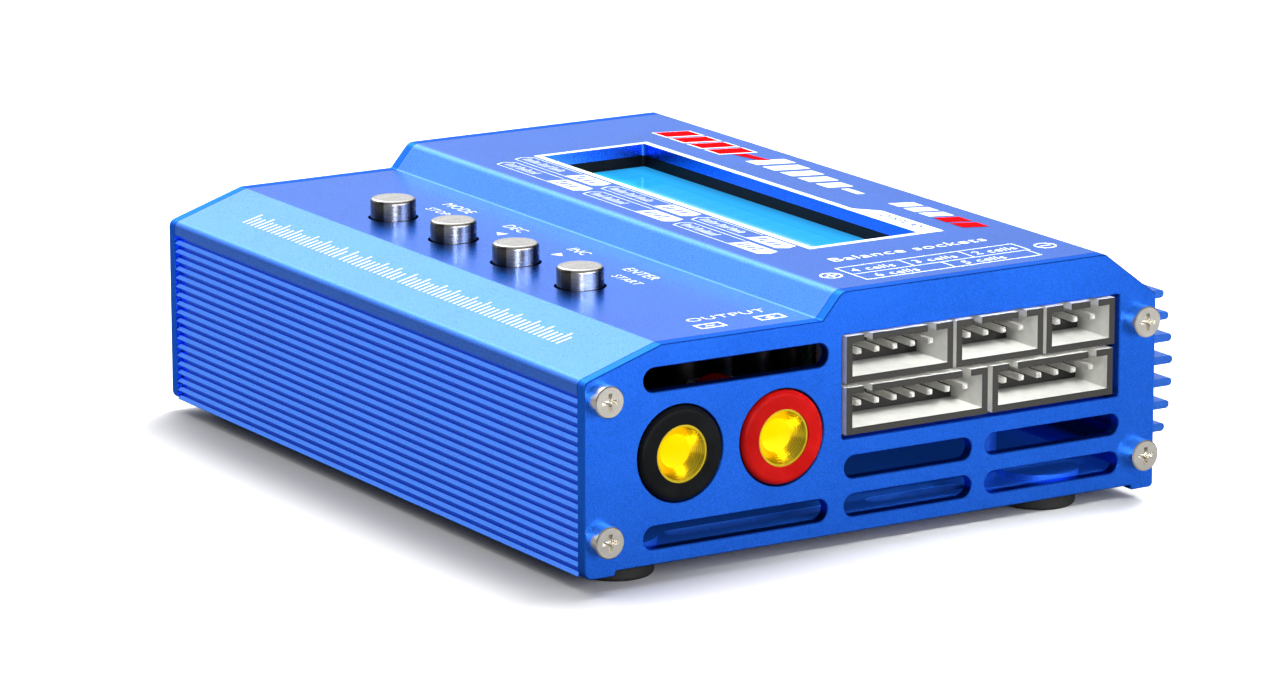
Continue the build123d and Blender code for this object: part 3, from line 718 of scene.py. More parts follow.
@dataclass
class PrintedSheet:
    """Flat marks gathered on one plane and raised by the thickness of the ink.

    Marks are laid out in millimetres along u, the reading direction, and v, upwards for the
    reader. RHYTHM is how much taller each stroke of a group is, over and over, and CAPITAL is the
    height of a capital in the built-in typeface over its size.
    """

    name: str
    origin: Vector
    u_axis: Vector
    v_axis: Vector
    lift: float = 0.004 * MM
    thickness: float = 0.016 * MM
    loops: list[list[Point]] = field(default_factory=list)
    RHYTHM: ClassVar[tuple[float, ...]] = (1.35, 1.0, 1.0, 1.35, 1.0, 1.0, 1.0)
    STROKE_PITCH: ClassVar[float] = 2.75
    GROUP_GAP: ClassVar[float] = 1.5
    CAPITAL: ClassVar[float] = 0.72
    LETTER_SPACE: ClassVar[float] = 1.08
    MERGE: ClassVar[float] = 0.002 * MM

    def polygon(self, points: Sequence[Point]) -> None:
        """Adds a mark with this outline.

        Args:
            points: The outline's corners, either way round.
        """
        turn = sum(a[0] * b[1] - b[0] * a[1] for a, b in zip(points, [*points[1:], points[0]]))
        self.loops.append(list(points) if turn > 0 else list(reversed(points)))

    def bar(self, u: Point, v: Point, slant: float = 0.0) -> None:
        """Adds a bar between two u and two v, its top moved along u by slant."""
        self.polygon([(u[0], v[0]), (u[1], v[0]), (u[1] + slant, v[1]), (u[0] + slant, v[1])])

    def frame(self, u: Point, v: Point, width: float) -> None:
        """Adds a rectangular frame of four mitred bars.

        Args:
            u: The frame's left and right.
            v: Its bottom and top.
            width: The width of a bar, inwards.
        """
        outer = [(u[0], v[0]), (u[1], v[0]), (u[1], v[1]), (u[0], v[1])]
        inner = [
            (u[0] + width, v[0] + width),
            (u[1] - width, v[0] + width),
            (u[1] - width, v[1] - width),
            (u[0] + width, v[1] - width),
        ]
        for i in range(4):
            j = (i + 1) % 4
            self.polygon([outer[i], outer[j], inner[j], inner[i]])

    def ring(self, centre: Point, radius: float, width: float, count: int = 28) -> None:
        """Adds a ring.

        Args:
            centre: Its centre.
            radius: Its outer radius.
            width: Its width, inwards.
            count: How many bars it is made of.
        """
        turns = [2 * math.pi * i / count for i in range(count + 1)]
        points = [
            [(centre[0] + r * math.cos(a), centre[1] + r * math.sin(a)) for a in turns]
            for r in (radius, radius - width)
        ]
        for i in range(count):
            self.polygon([points[0][i], points[0][i + 1], points[1][i + 1], points[1][i]])

    def strokes(
        self,
        start: Point,
        lengths: Sequence[float],
        height: float,
        pen: float,
        slant: float = 0.0,
    ) -> None:
        """Adds groups of plain upright strokes, some of them taller.

        Args:
            start: The lower left corner of the row.
            lengths: The length of each group.
            height: The height of a stroke.
            pen: The width of a stroke.
            slant: How far a stroke's top lies ahead of its foot.
        """
        u = start[0]
        for length in lengths:
            count = max(2, round(length / (self.STROKE_PITCH * pen)))
            pitch = length / count
            for i in range(count):
                tall = self.RHYTHM[i % len(self.RHYTHM)]
                left = u + i * pitch
                self.bar((left, left + pen), (start[1], start[1] + height * tall), slant * tall)
            u += length + self.GROUP_GAP * pen

    def letters(self, text: str, corner: Point, height: float, stretch: float = 1.0) -> None:
        """Adds plain lettering in the built-in typeface.

        Args:
            text: The text.
            corner: The lower left corner of its first letter.
            height: The height of a capital.
            stretch: Their width over the typeface's own.
        """
        data = bpy.data.curves.new("lettering", "FONT")
        data.body = text
        data.size = height / self.CAPITAL
        data.space_character = self.LETTER_SPACE
        data.resolution_u = 3
        carrier = bpy.data.objects.new("lettering", data)
        bpy.context.scene.collection.objects.link(carrier)
        graph = bpy.context.evaluated_depsgraph_get()
        mesh = bpy.data.meshes.new_from_object(carrier.evaluated_get(graph))
        places = [(corner[0] + v.co.x * stretch, corner[1] + v.co.y) for v in mesh.vertices]
        for polygon in mesh.polygons:
            self.polygon([places[i] for i in polygon.vertices])
        bpy.data.objects.remove(carrier)
        bpy.data.meshes.remove(mesh)

    def cross(self, centre: Point, reach: float, width: float, upright: bool = True) -> None:
        """Adds a plus or a minus sign.

        Args:
            centre: Its centre.
            reach: How far its bars reach from there.
            width: The width of a bar.
            upright: Whether it has the upright bar of a plus sign.
        """
        half = width / 2
        self.bar((centre[0] - reach, centre[0] + reach), (centre[1] - half, centre[1] + half))
        if upright:
            for low, high in ((-reach, -half), (half, reach)):
                self.bar((centre[0] - half, centre[0] + half), (centre[1] + low, centre[1] + high))

    def build(self, finish: bpy.types.Material, slot: str, level: int = 0) -> bpy.types.Object:
        """Makes the marks one piece.

        Args:
            finish: The ink.
            slot: Not used.
            level: How many layers of ink lie underneath.

        Returns:
            The piece.
        """
        normal = self.u_axis.cross(self.v_axis).normalized()
        low = self.lift + level * (self.thickness + self.lift)
        shape = bmesh.new()
        for loop in self.loops:
            shape.faces.new([shape.verts.new((u * MM, v * MM, low)) for u, v in loop])
        bmesh.ops.remove_doubles(shape, verts=shape.verts, dist=self.MERGE)
        flat = list(shape.faces)
        raised = bmesh.ops.extrude_face_region(shape, geom=flat, use_keep_orig=True)["geom"]
        tops = [part for part in raised if isinstance(part, bmesh.types.BMVert)]
        bmesh.ops.translate(shape, verts=tops, vec=(0.0, 0.0, self.thickness))
        bmesh.ops.reverse_faces(shape, faces=flat)
        turn = Matrix((self.u_axis, self.v_axis, normal)).transposed().to_4x4()
        place = Matrix.Translation(self.origin) @ turn
        bmesh.ops.transform(shape, matrix=place, verts=shape.verts)
        # The mesh operations leave their parts in an order that differs from run to run.
        for parts in (shape.verts, shape.edges, shape.faces):
            places = {part: tuple(middle(part)) for part in parts}
            ranks = {part: rank for rank, part in enumerate(sorted(parts, key=places.get))}
            parts.sort(key=ranks.get)
        mesh = bpy.data.meshes.new(self.name)
        shape.to_mesh(mesh)
        shape.free()
        mesh.materials.append(finish)
        piece = bpy.data.objects.new(self.name, mesh)
        bpy.context.scene.collection.objects.link(piece)
        return settle(piece)


# ---------------------------------------------------------------- repeated shapes


class RepeatTree(NodeSheet):
    """A Geometry Nodes tree that repeats a small block on a grid and ends as a plain mesh.

    Pitch and Block are sizes in metres, Spread is how much a block's width and length vary,
    Missing is the share of the grid's places left empty, and Turn is in radians. Seed fixes what
    is random.
    """

    SIZES = {
        "Columns": ("NodeSocketInt", 1),
        "Rows": ("NodeSocketInt", 1),
        "Pitch": ("NodeSocketVector", (MM, MM, 0.0)),
        "Block": ("NodeSocketVector", (MM, MM, MM)),
        "Spread": ("NodeSocketFloat", 0.0),
        "Missing": ("NodeSocketFloat", 0.0),
        "Seed": ("NodeSocketInt", 3),
        "Origin": ("NodeSocketVector", (0.0, 0.0, 0.0)),
        "Turn": ("NodeSocketVector", (0.0, 0.0, 0.0)),
    }

    def __init__(self, name: str, round_block: bool) -> None:
        """Builds the tree.

        Args:
            name: The tree's name.
            round_block: Whether the block is a low dome instead of a box.
        """
        super().__init__(bpy.data.node_groups.new(name, "GeometryNodeTree"))
        face = self.tree.interface
        self.sockets = {
            label: face.new_socket(name=label, in_out="INPUT", socket_type=kind)
            for label, (kind, _) in self.SIZES.items()
        }
        self.sockets["Finish"] = face.new_socket(
            name="Finish", in_out="INPUT", socket_type="NodeSocketMaterial"
        )
        face.new_socket(name="Geometry", in_out="OUTPUT", socket_type="NodeSocketGeometry")
        given = self.tree.nodes.new("NodeGroupInput")
        entry = {label: Value(self, given.outputs[label]) for label in self.sockets}
        columns, rows, pitch = entry["Columns"], entry["Rows"], entry["Pitch"]
        step = {axis: self.node("ShaderNodeSeparateXYZ", None, {0: pitch}, axis) for axis in "XY"}
        grid = self.node(
            "GeometryNodeMeshGrid",
            None,
            {
                "Size X": step["X"] * (columns - 1.0),
                "Size Y": step["Y"] * (rows - 1.0),
                "Vertices X": columns,
                "Vertices Y": rows,
            },
        )
        kept = self.node(
            "FunctionNodeRandomValue",
            {"data_type": "BOOLEAN"},
            {"Probability": 1.0 - entry["Missing"], "Seed": entry["Seed"]},
            3,
        )
        if round_block:
            block = self.node("GeometryNodeMeshIcoSphere", None, {"Radius": 0.5, "Subdivisions": 2})
        else:
            block = self.node("GeometryNodeMeshCube", None, {"Size": (1.0, 1.0, 1.0)})
        growth = self.node(
            "FunctionNodeRandomValue",
            {"data_type": "FLOAT"},
            {
                2: 1.0 - entry["Spread"],
                3: 1.0 + entry["Spread"],
                "Seed": entry["Seed"] + 1.0,
            },
            1,
        )
        stretch = self.node("ShaderNodeCombineXYZ", None, {0: growth, 1: growth, 2: 1.0})
        scale = self.node(
            "ShaderNodeVectorMath", {"operation": "MULTIPLY"}, {0: entry["Block"], 1: stretch}
        )
        placed = self.node(
            "GeometryNodeInstanceOnPoints",
            None,
            {"Points": grid, "Selection": kept, "Instance": block, "Scale": scale},
        )
        moved = self.node(
            "GeometryNodeTransform",
            None,
            {"Geometry": placed, "Translation": entry["Origin"], "Rotation": entry["Turn"]},
        )
        plain = self.node("GeometryNodeRealizeInstances", None, {"Geometry": moved})
        finished = self.node(
            "GeometryNodeSetMaterial", None, {"Geometry": plain, "Material": entry["Finish"]}
        )
        leaving = self.tree.nodes.new("NodeGroupOutput")
        self.feed(leaving.inputs["Geometry"], finished)

    def piece(self, name: str, finish: bpy.types.Material, **sizes: object) -> bpy.types.Object:
        """Evaluates the tree with these sizes and keeps the result as a plain mesh.

        Args:
            name: The piece's name.
            finish: Its material.
            sizes: Values for the tree's named inputs.

        Returns:
            An object at the origin without modifiers.
        """
        carrier = bpy.data.objects.new(name, bpy.data.meshes.new(name))
        bpy.context.scene.collection.objects.link(carrier)
        modifier = carrier.modifiers.new("repeat", "NODES")
        modifier.node_group = self.tree
        values = {label: default for label, (_, default) in self.SIZES.items()} | sizes
        for label, value in values.items():
            modifier[self.sockets[label].identifier] = value
        modifier[self.sockets["Finish"].identifier] = finish
        graph = bpy.context.evaluated_depsgraph_get()
        mesh = bpy.data.meshes.new_from_object(carrier.evaluated_get(graph))
        carrier.modifiers.remove(modifier)
        carrier.data = mesh
        mesh.name = name
        return carrier


# ---------------------------------------------------------------- the charger


@dataclass(frozen=True)
class Datum:
    """The case's own planes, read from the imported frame."""

    front: float
    base: float
    upper_deck: float

    @classmethod
    def read(cls) -> "Datum":
        """Reads the planes from the CAD nodes' boxes.

        Returns:
            The planes.
        """
        shell_low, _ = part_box("top_shell")
        plate_low, plate_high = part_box("output_end_plate")
        return cls(shell_low.y, plate_low.z, plate_high.z)

    @property
    def upper_height(self) -> float:
        """Height of the upper deck above the plates' bottom edge, in millimetres."""
        return (self.upper_deck - self.base) / MM

    def over(self, height: float) -> Vector:
        """The middle of the front edge, height in millimetres above the plates' bottom edge."""
        return Vector((0.0, self.front, self.base + height * MM))


class Axis(Enum):
    """Unit vectors that the marks are laid along."""

    X = (1.0, 0.0, 0.0)
    Y = (0.0, 1.0, 0.0)
    BACK_X = (-1.0, 0.0, 0.0)

    @property
    def vector(self) -> Vector:
        """The direction."""
        return Vector(self.value)


@dataclass
class Finishes:
    """The shared materials, and the way a CAD node gets one."""

    white_ink: bpy.types.Material = field(init=False)
    blue_ink: bpy.types.Material = field(init=False)
    red_ink: bpy.types.Material = field(init=False)
    solder: bpy.types.Material = field(init=False)
    chip: bpy.types.Material = field(init=False)
    ceramic: bpy.types.Material = field(init=False)

    def __post_init__(self) -> None:
        """Makes the inks and the small parts' finishes."""
        self.white_ink = Ink("white_ink", (0.74, 0.82, 0.92)).material()
        self.blue_ink = Ink("blue_ink", (0.006, 0.05, 0.42), 0.0).material()
        self.red_ink = Ink("red_ink", (0.62, 0.004, 0.006), 0.0).material()
        self.solder = BrightMetal("solder", (0.72, 0.72, 0.70), 0.28).material()
        self.chip = Moulded("chip_black", (0.05, 0.045, 0.04), 0.4).material()
        self.ceramic = Moulded("capacitor_ceramic", (0.36, 0.24, 0.13), 0.45).material()

    def dress(self, material: bpy.types.Material, *nodes: str) -> None:
        """Gives CAD nodes a material in place of their packed one.

        Args:
            material: The finish.
            nodes: The nodes' names.
        """
        for node in nodes:
            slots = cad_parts[node].data.materials
            if not slots:
                slots.append(material)
            for i in range(len(slots)):
                slots[i] = material


@dataclass
class CaseSkin:
    """The anodised case, its screws and its feet."""

    finishes: Finishes
    blue: Colour = (0.02, 0.18, 0.95)
    plate_blue: Colour = (0.012, 0.15, 0.95)
    wall_blue: Colour = (0.012, 0.12, 0.72)
    plating: Colour = (0.80, 0.77, 0.70)
    rubber: Colour = (0.012, 0.012, 0.012)
    screwed: tuple[str, ...] = (
        "output_plate", "input_plate", "standoff", "fan", "board", "spacer"
    )

    def build(self) -> None:
        """Dresses the case's nodes."""
        dress = self.finishes.dress
        dress(Anodised("blue_shell", self.blue).material(), "top_shell")
        plate = Anodised("blue_plate", self.plate_blue, roughness=0.33, seal=0.12).material()
        dress(plate, "output_end_plate", "input_end_plate")
        # The floor's inner faces carry a faint painted glow.
        floor = Anodised(
            "blue_floor", self.wall_blue, metallic=0.5, roughness=0.42, seal=0.2, glow=0.12
        )
        dress(floor.material(), "bottom_plate", "board_standoffs")
        screws = BrightMetal("plated_screw", self.plating, 0.22).material()
        dress(screws, *(f"{place}_screws" for place in self.screwed))
        rubber = Moulded("foot_rubber", self.rubber, 0.75, 0.2 * MM, 0.02 * MM)
        dress(rubber.material(), "rubber_feet")


@dataclass
class Keys:
    """Four turned caps over sprung switches."""

    finishes: Finishes
    names: tuple[str, ...] = ("stop", "minus", "plus", "start")
    steel: Colour = (0.66, 0.65, 0.63)
    cap_rim: float = 2.7 * MM
    plunger_white: Colour = (0.7, 0.7, 0.66)
    switch_black: Colour = (0.03, 0.03, 0.03)

    def build(self) -> None:
        """Dresses the caps, plungers and switch bodies."""
        dress = self.finishes.dress
        for name in self.names:
            low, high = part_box(f"{name}_button")
            # The turned polish paints upright bands of shadow on each cap's side.
            cap = BrightMetal(
                f"turned_{name}_cap",
                self.steel,
                roughness=0.27,
                polish=Polish.TURNED,
                centre=(low + high) / 2,
                mark=0.09 * MM,
                rim=self.cap_rim,
            )
            dress(cap.material(), f"{name}_button")
            plunger = Moulded(f"{name}_plunger", self.plunger_white)
            dress(plunger.material(), f"{name}_switch_stem")
        dress(Moulded("switch_body", self.switch_black, 0.45).material(), "tact_switches")


@dataclass
class Outputs:
    """Banana sockets and the balance connector block."""

    finishes: Finishes
    pins: tuple[int, ...] = (7, 6, 5, 4, 3)
    wall: float = 0.8 * MM
    pin_pitch: float = 2.5 * MM
    pin_height: float = 3.35 * MM
    bead: Size = (1.5 * MM, 1.1 * MM, 1.5 * MM)
    nickel: Colour = (0.7, 0.68, 0.62)
    tin: Colour = (0.80, 0.79, 0.74)
    collars: ClassVar[dict[str, Colour]] = {
        "black": (0.005, 0.006, 0.007),
        "red": (0.46, 0.003, 0.002),
    }

    def build(self) -> None:
        """Dresses the sockets, shrouds and pins, and adds the solder behind them."""
        dress = self.finishes.dress
        for name, colour in self.collars.items():
            ring = Moulded(f"{name}_ring", colour, 0.42, shine=0.06)
            dress(ring.material(), f"{name}_socket_collar")
            low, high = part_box(f"{name}_socket_contact")
            centre = (low + high) / 2
            cup = GoldCup(f"{name}_gold_cup", Vector((0.0, centre.y, centre.z)), high.x)
            dress(cup.material(), f"{name}_socket_contact")
        dress(BrightMetal("nut_nickel", self.nickel, 0.3).material(), "socket_nuts")
        low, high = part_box("balance_header_7pin")
        nylon = Shroud("balance_nylon", high.x, low.x + self.wall, 1.0).material()
        dress(nylon, *(f"balance_header_{count}pin" for count in self.pins))
        low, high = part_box("sensor_header")
        nylon = Shroud("sensor_nylon", low.x, high.x - self.wall, -1.0).material()
        dress(nylon, "sensor_header")
        self.solder_beads()
        tin = BrightMetal("tinned_pin", self.tin, 0.38, Polish.DRAWN, metallic=0.45).material()
        dress(tin, "balance_pins", "sensor_pins", "data_port_shell", "power_jack_pin", "fan_shaft")


    def solder_beads(self) -> None:
        """A row of solder beads round each header's pin tails, behind the balance board."""
        beads = RepeatTree("solder_beads", round_block=True)
        board_low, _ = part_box("balance_board")
        for count in self.pins:
            low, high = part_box(f"balance_header_{count}pin")
            place = (board_low.x, (low.y + high.y) / 2, low.z + self.pin_height)
            row = beads.piece(
                f"solder_beads_{count}pin",
                self.finishes.solder,
                Columns=count,
                Pitch=(self.pin_pitch, 0.0, 0.0),
                Block=self.bead,
                Spread=0.08,
                Seed=count,
                Origin=place,
                Turn=(0.0, 0.0, math.pi / 2),
            )
            settle(row)


@dataclass
class Display:
    """The display's black frame, lit glass and light guide.

    The margin is the glass that the frame covers on each side, in millimetres.
    """

    finishes: Finishes
    margin: Size = (3.8, 4.3, 0.0)
    bezel_black: Colour = (0.004, 0.004, 0.005)
    guide_blue: Colour = (0.5, 0.75, 0.85)

    def build(self) -> None:
        """Dresses the display's nodes."""
        dress = self.finishes.dress
        bezel = Moulded("display_frame", self.bezel_black, 0.5, shine=0.15)
        dress(bezel.material(), "display_bezel")
        low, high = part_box("display_glass")
        margin = Vector(self.margin) * MM
        dress(LitDisplay("lit_glass", low + margin, high - margin).material(), "display_glass")
        guide = Moulded("light_guide", self.guide_blue, 0.25, gloss=0.3)
        dress(guide.material(), "display_light_guide")


@dataclass(frozen=True)
class PartField:
    """A field of small parts on the main board, its centre and block in millimetres."""

    name: str
    centre: Point
    columns: int
    rows: int
    block: Size
    ceramic: bool = False


@dataclass
class Electronics:
    """Boards, power parts, ports and the fan.

    A surface-mount part stands sunk, as a share of its height, into its solder.
    """

    finishes: Finishes
    pitch: Point = (2.1 * MM, 1.5 * MM)
    missing: float = 0.45
    spread: float = 0.2
    sunk: float = 0.45
    dressed: ClassVar[tuple[tuple[Moulded | BrightMetal | SolderMask, tuple[str, ...]], ...]] = (
        (
            SolderMask("green_lacquer", (0.008, 0.06, 0.03), (0.02, 0.13, 0.06)),
            ("main_board", "display_board", "balance_board"),
        ),
        (SolderMask("black_lacquer", (0.01, 0.01, 0.011), (0.022, 0.022, 0.024)), ("key_board",)),
        (
            Moulded("black_moulding", (0.016, 0.016, 0.017), 0.42),
            ("board_link_headers", "power_jack", "data_port_tongue", "fan_frame", "fan_rotor",
             "buzzer"),
        ),
        (Moulded("ferrite", (0.05, 0.05, 0.055), 0.6, 0.25 * MM, 0.03 * MM), ("power_inductors",)),
        # The spacers' metal is painted near-black as the shade inside the case.
        (BrightMetal("shaded_spacer_metal", (0.11, 0.105, 0.10), 0.45), ("board_spacers",)),
        (
            BrightMetal("can_aluminium", (0.55, 0.55, 0.57), 0.32, Polish.DRAWN),
            ("filter_capacitors",),
        ),
        (BrightMetal("milled_block", (0.62, 0.62, 0.64), 0.4, Polish.DRAWN), ("heat_block",)),
        (Moulded("thermal_pad", (0.35, 0.40, 0.45), 0.8), ("thermal_pad",)),
        (BrightMetal("coil_copper", (0.75, 0.30, 0.14), 0.3), ("fan_coil",)),
    )
    fields: ClassVar[tuple[PartField, ...]] = (
        PartField("output_side_resistors", (33.0, 24.0), 7, 5, (1.0, 0.55, 0.4)),
        PartField("front_resistors", (-6.0, -36.0), 12, 3, (1.0, 0.55, 0.4)),
        PartField("back_capacitors", (-4.0, 30.0), 14, 4, (1.1, 0.7, 0.7), True),
        PartField("input_side_capacitors", (-28.5, 30.0), 5, 4, (1.1, 0.7, 0.7), True),
    )

    def build(self) -> None:
        """Dresses the inner nodes and adds their small parts."""
        for finish, nodes in self.dressed:
            self.finishes.dress(finish.material(), *nodes)
        self.finishes.dress(self.finishes.chip, "control_chips", "power_transistors")
        self.surface_parts()

    def surface_parts(self) -> None:
        """Adds fields of small parts to the free stretches of the main board."""
        repeat = RepeatTree("surface_parts", round_block=False)
        _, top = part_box("main_board")
        for area in self.fields:
            block = tuple(size * MM for size in area.block)
            height = top.z + block[2] * self.sunk
            piece = repeat.piece(
                area.name,
                self.finishes.ceramic if area.ceramic else self.finishes.chip,
                Columns=area.columns,
                Rows=area.rows,
                Pitch=(*self.pitch, 0.0),
                Block=block,
                Spread=self.spread,
                Missing=self.missing,
                Seed=area.columns + area.rows,
                Origin=(area.centre[0] * MM, area.centre[1] * MM, height),
            )
            settle(piece)


@dataclass
class DeckPrint:
    """The screen print on the sloping strip and on both decks.

    Everything is in millimetres. Marks read from the front lie along the case and back from its
    front edge. Marks read from the output end lie back from the front edge, with their height
    towards the input end, so their v is minus the place along the case.
    """

    finishes: Finishes
    datum: Datum
    slot: str = "blue_anodised"
    low_deck: float = 26.4

    strip_rise: Point = (10.3, 3.3)
    strip_foot: float = 23.1
    strip_start: Point = (-39.4, 4.6)
    strip_groups: tuple[float, ...] = (24.4, 14.0, 38.2)
    strip_height: float = 1.95
    strip_pen: float = 0.38
    strip_slant: float = 0.42

    key_xs: tuple[float, ...] = (-24.55, -9.5, 5.55, 20.6)
    key_words: tuple[tuple[str, float], ...] = (
        ("MODE", -3.2), ("DEC", -3.3), ("INC", -2.9), ("ENTER", -5.0)
    )
    key_rows: Point = (26.5, 23.5)
    key_heights: Point = (1.6, 1.35)

    output_boxes: tuple[tuple[float, bool], ...] = ((19.9, False), (28.1, True))
    output_rows: Point = (-47.1, -45.0)

    tree_span: Point = (40.8, 66.2)
    tree_rows: tuple[float, ...] = (-40.2, -43.9, -47.0)
    tree_line: float = 0.17
    tree_stems: tuple[tuple[float, ...], ...] = ((40.8, 49.6, 58.2, 66.0), (40.8, 53.3, 65.6))
    cell_words: tuple[tuple[int, float, float], ...] = (
        (4, 41.8, -43.0), (3, 50.6, -43.0), (2, 59.2, -43.0), (6, 42.9, -46.4), (5, 55.3, -46.4)
    )
    polarity: tuple[tuple[float, bool], ...] = ((38.4, True), (69.0, False))

    window_u: Point = (-34.6, 30.05)
    window_v: Point = (44.0, 61.05)
    window_line: float = 0.9
    tab_v: float = 63.4

    table_start: float = -34.4
    table_rows: tuple[Point, ...] = ((40.9, 0.0), (37.4, 1.4))
    table_pitch: float = 21.2
    table_height: float = 2.7
    table_line: float = 0.14
    table_words: tuple[tuple[float, ...], ...] = ((3.4, 2.3, 3.0), (2.4, 4.6))
    pill_words: tuple[tuple[float, ...], ...] = ((1.8, 2.6), (4.2,))

    def build(self) -> None:
        """Makes every printed piece."""
        self.strip_marks()
        self.key_legends()
        self.output_legend()
        self.balance_legend()
        self.window_border()
        self.setting_table()
        self.emblems()

    def deck(self, name: str, height: float) -> PrintedSheet:
        """A sheet on a deck, read from the front, with its zero at the middle of the front edge."""
        return PrintedSheet(name, self.datum.over(height), Axis.X.vector, Axis.Y.vector)

    def side(self, name: str, height: float) -> PrintedSheet:
        """A sheet on a deck, read from the output end."""
        return PrintedSheet(name, self.datum.over(height), Axis.Y.vector, Axis.BACK_X.vector)

    def strip_marks(self) -> None:
        """A long row of leaning strokes in three groups."""
        rise = Vector((0.0, *self.strip_rise)).normalized()
        foot = self.datum.over(self.strip_foot)
        sheet = PrintedSheet("strip_marks", foot, Axis.X.vector, rise)
        sheet.strokes(
            self.strip_start, self.strip_groups, self.strip_height, self.strip_pen, self.strip_slant
        )
        sheet.build(self.finishes.white_ink, self.slot)

    def key_legends(self) -> None:
        """A word behind each key, and a second word or an arrow in front of it."""
        sheet = self.deck("key_legends", self.low_deck)
        for x, (label, shift) in zip(self.key_xs, self.key_words):
            sheet.letters(label, (x + shift, self.key_rows[0]), self.key_heights[0])
        stop, back, ahead, start = self.key_xs
        for label, left in (("STOP", stop - 2.2), ("START", start - 2.6)):
            sheet.letters(label, (left, self.key_rows[1]), self.key_heights[1])
        for tip, foot in ((back - 0.5, back + 1.1), (ahead + 0.3, ahead - 1.3)):
            sheet.polygon([(tip, 24.2), (foot, 23.4), (foot, 25.0)])
        sheet.build(self.finishes.white_ink, self.slot)

    def output_legend(self) -> None:
        """A word over a minus box and a plus box, read from the output end."""
        sheet = self.side("output_legend", self.low_deck)
        sheet.letters("OUTPUT", (18.7, -43.4), 1.5, stretch=1.25)
        for depth, upright in self.output_boxes:
            sheet.frame((depth - 1.8, depth + 1.8), self.output_rows, 0.32)
            sheet.cross((depth, sum(self.output_rows) / 2), 0.62, 0.34, upright)
        sheet.build(self.finishes.white_ink, self.slot)

    def balance_legend(self) -> None:
        """Cell counts in a small tree of lines over the balance sockets."""
        sheet = self.side("balance_legend", self.datum.upper_height)
        sheet.letters("Balance sockets", (42.6, -37.3), 1.9, stretch=1.22)
        line = self.tree_line
        top, middle, bottom = self.tree_rows
        for row in (top, middle):
            sheet.bar(self.tree_span, (row - line, row))
        sheet.bar((self.tree_span[0], 65.8), (bottom - 0.2, bottom))
        for stems, ends in zip(self.tree_stems, ((middle, top - 0.22), (bottom, middle - 0.22))):
            for depth in stems:
                sheet.bar((depth, depth + line), ends)
        for count, depth, height in self.cell_words:
            sheet.letters(f"{count} cells", (depth, height), 1.6)
        for depth, upright in self.polarity:
            sheet.ring((depth, -43.2), 1.4, 0.26)
            sheet.cross((depth, -43.2), 0.8, 0.3, upright)
        sheet.build(self.finishes.white_ink, self.slot)

    def window_border(self) -> None:
        """The white border of the display window, with a tab behind its right end."""
        sheet = self.deck("window_border", self.datum.upper_height)
        sheet.frame(self.window_u, self.window_v, self.window_line)
        right, back = self.window_u[1], self.window_v[1]
        sheet.polygon([(13.6, back), (right, back), (right, self.tab_v), (16.6, self.tab_v)])
        marks = self.deck("tab_marks", self.datum.upper_height)
        marks.letters("DISPLAY", (18.4, 61.6), 1.25, stretch=1.3)
        sheet.build(self.finishes.white_ink, self.slot)
        marks.build(self.finishes.blue_ink, self.slot, 1)

    def setting_table(self) -> None:
        """Two rows of settings in front of the window: framed bars, each with a filled pill."""
        sheet = self.deck("setting_table", self.datum.upper_height)
        marks = self.deck("setting_marks", self.datum.upper_height)
        height, line = self.table_height, self.table_line
        rows = zip(self.table_rows, self.table_words, self.pill_words)
        for (v, shift), words, pill in rows:
            half, top = v + height / 2, v + height
            for column in range(3):
                u = self.table_start + shift + column * self.table_pitch
                split, end = u + 12.6, u + self.table_pitch - 1.0
                sheet.bar((u + 0.8, split), (top - line, top))
                sheet.bar((u + 0.3, split), (v, v + line))
                sheet.polygon([(u + 0.3, v), (u + 0.5, v + line), (u, half), (u - 0.2, half)])
                sheet.polygon([(u - 0.2, half), (u, half), (u + 1.0, top - line), (u + 0.8, top)])
                sheet.strokes((u + 1.0, v + 0.72), words, 1.0, 0.2, 0.22)
                sheet.polygon(
                    [(split, v), (end - 0.9, v), (end, half), (end - 0.5, top), (split + 0.7, top)]
                )
                marks.strokes((split + 1.2, v + 0.6), pill, 1.15, 0.42, 0.22)
        sheet.build(self.finishes.white_ink, self.slot)
        marks.build(self.finishes.blue_ink, self.slot, 1)

    def emblems(self) -> None:
        """Generic signs behind the window: red cells, a row of bars that taper, five small bars."""
        white = self.deck("white_emblem", self.datum.upper_height)
        red = self.deck("red_emblem", self.datum.upper_height)
        for i in range(4):
            u = -39.0 + i * 4.3
            white.bar((u - 0.25, u + 3.45), (64.6, 69.6), 1.5)
            red.bar((u + 0.05, u + 3.15), (64.9, 69.3), 1.32)
        red.polygon([(-21.9, 66.2), (-17.0, 67.0), (-16.0, 68.3), (-21.2, 67.8)])
        for i in range(5):
            u = -17.5 + i * 4.1
            tall = 5.0 - 0.45 * i
            white.bar((u, u + 2.9), (65.2, 65.2 + tall), 0.3 * tall)
        white.bar((3.2, 6.9), (66.2, 67.2), 0.3)
        small_bars = ((white, 13.4, 3.3, 2.4, 3), (red, 23.4, 3.6, 2.8, 2))
        for sheet, start, pitch, width, count in small_bars:
            for i in range(count):
                u = start + i * pitch
                sheet.bar((u, u + width), (66.4, 69.4), 1.1)
        white.build(self.finishes.white_ink, self.slot)
        red.build(self.finishes.red_ink, self.slot, 1)


# ---------------------------------------------------------------- studio


@dataclass(frozen=True)
class SoftBox:
    """A rectangular light that faces the object.

    Its azimuth, elevation and spread are in degrees, its distance and size in metres and its power
    in watts. It faces the target, by default the camera's. A glossy light is mirrored by bright
    metal, and a diffuse one lights matt surfaces.
    """

    name: str
    azimuth: float
    elevation: float
    distance: float
    size: Point
    power: float
    spread: float = 180.0
    target: Size | None = None
    glossy: bool = False
    diffuse: bool = True


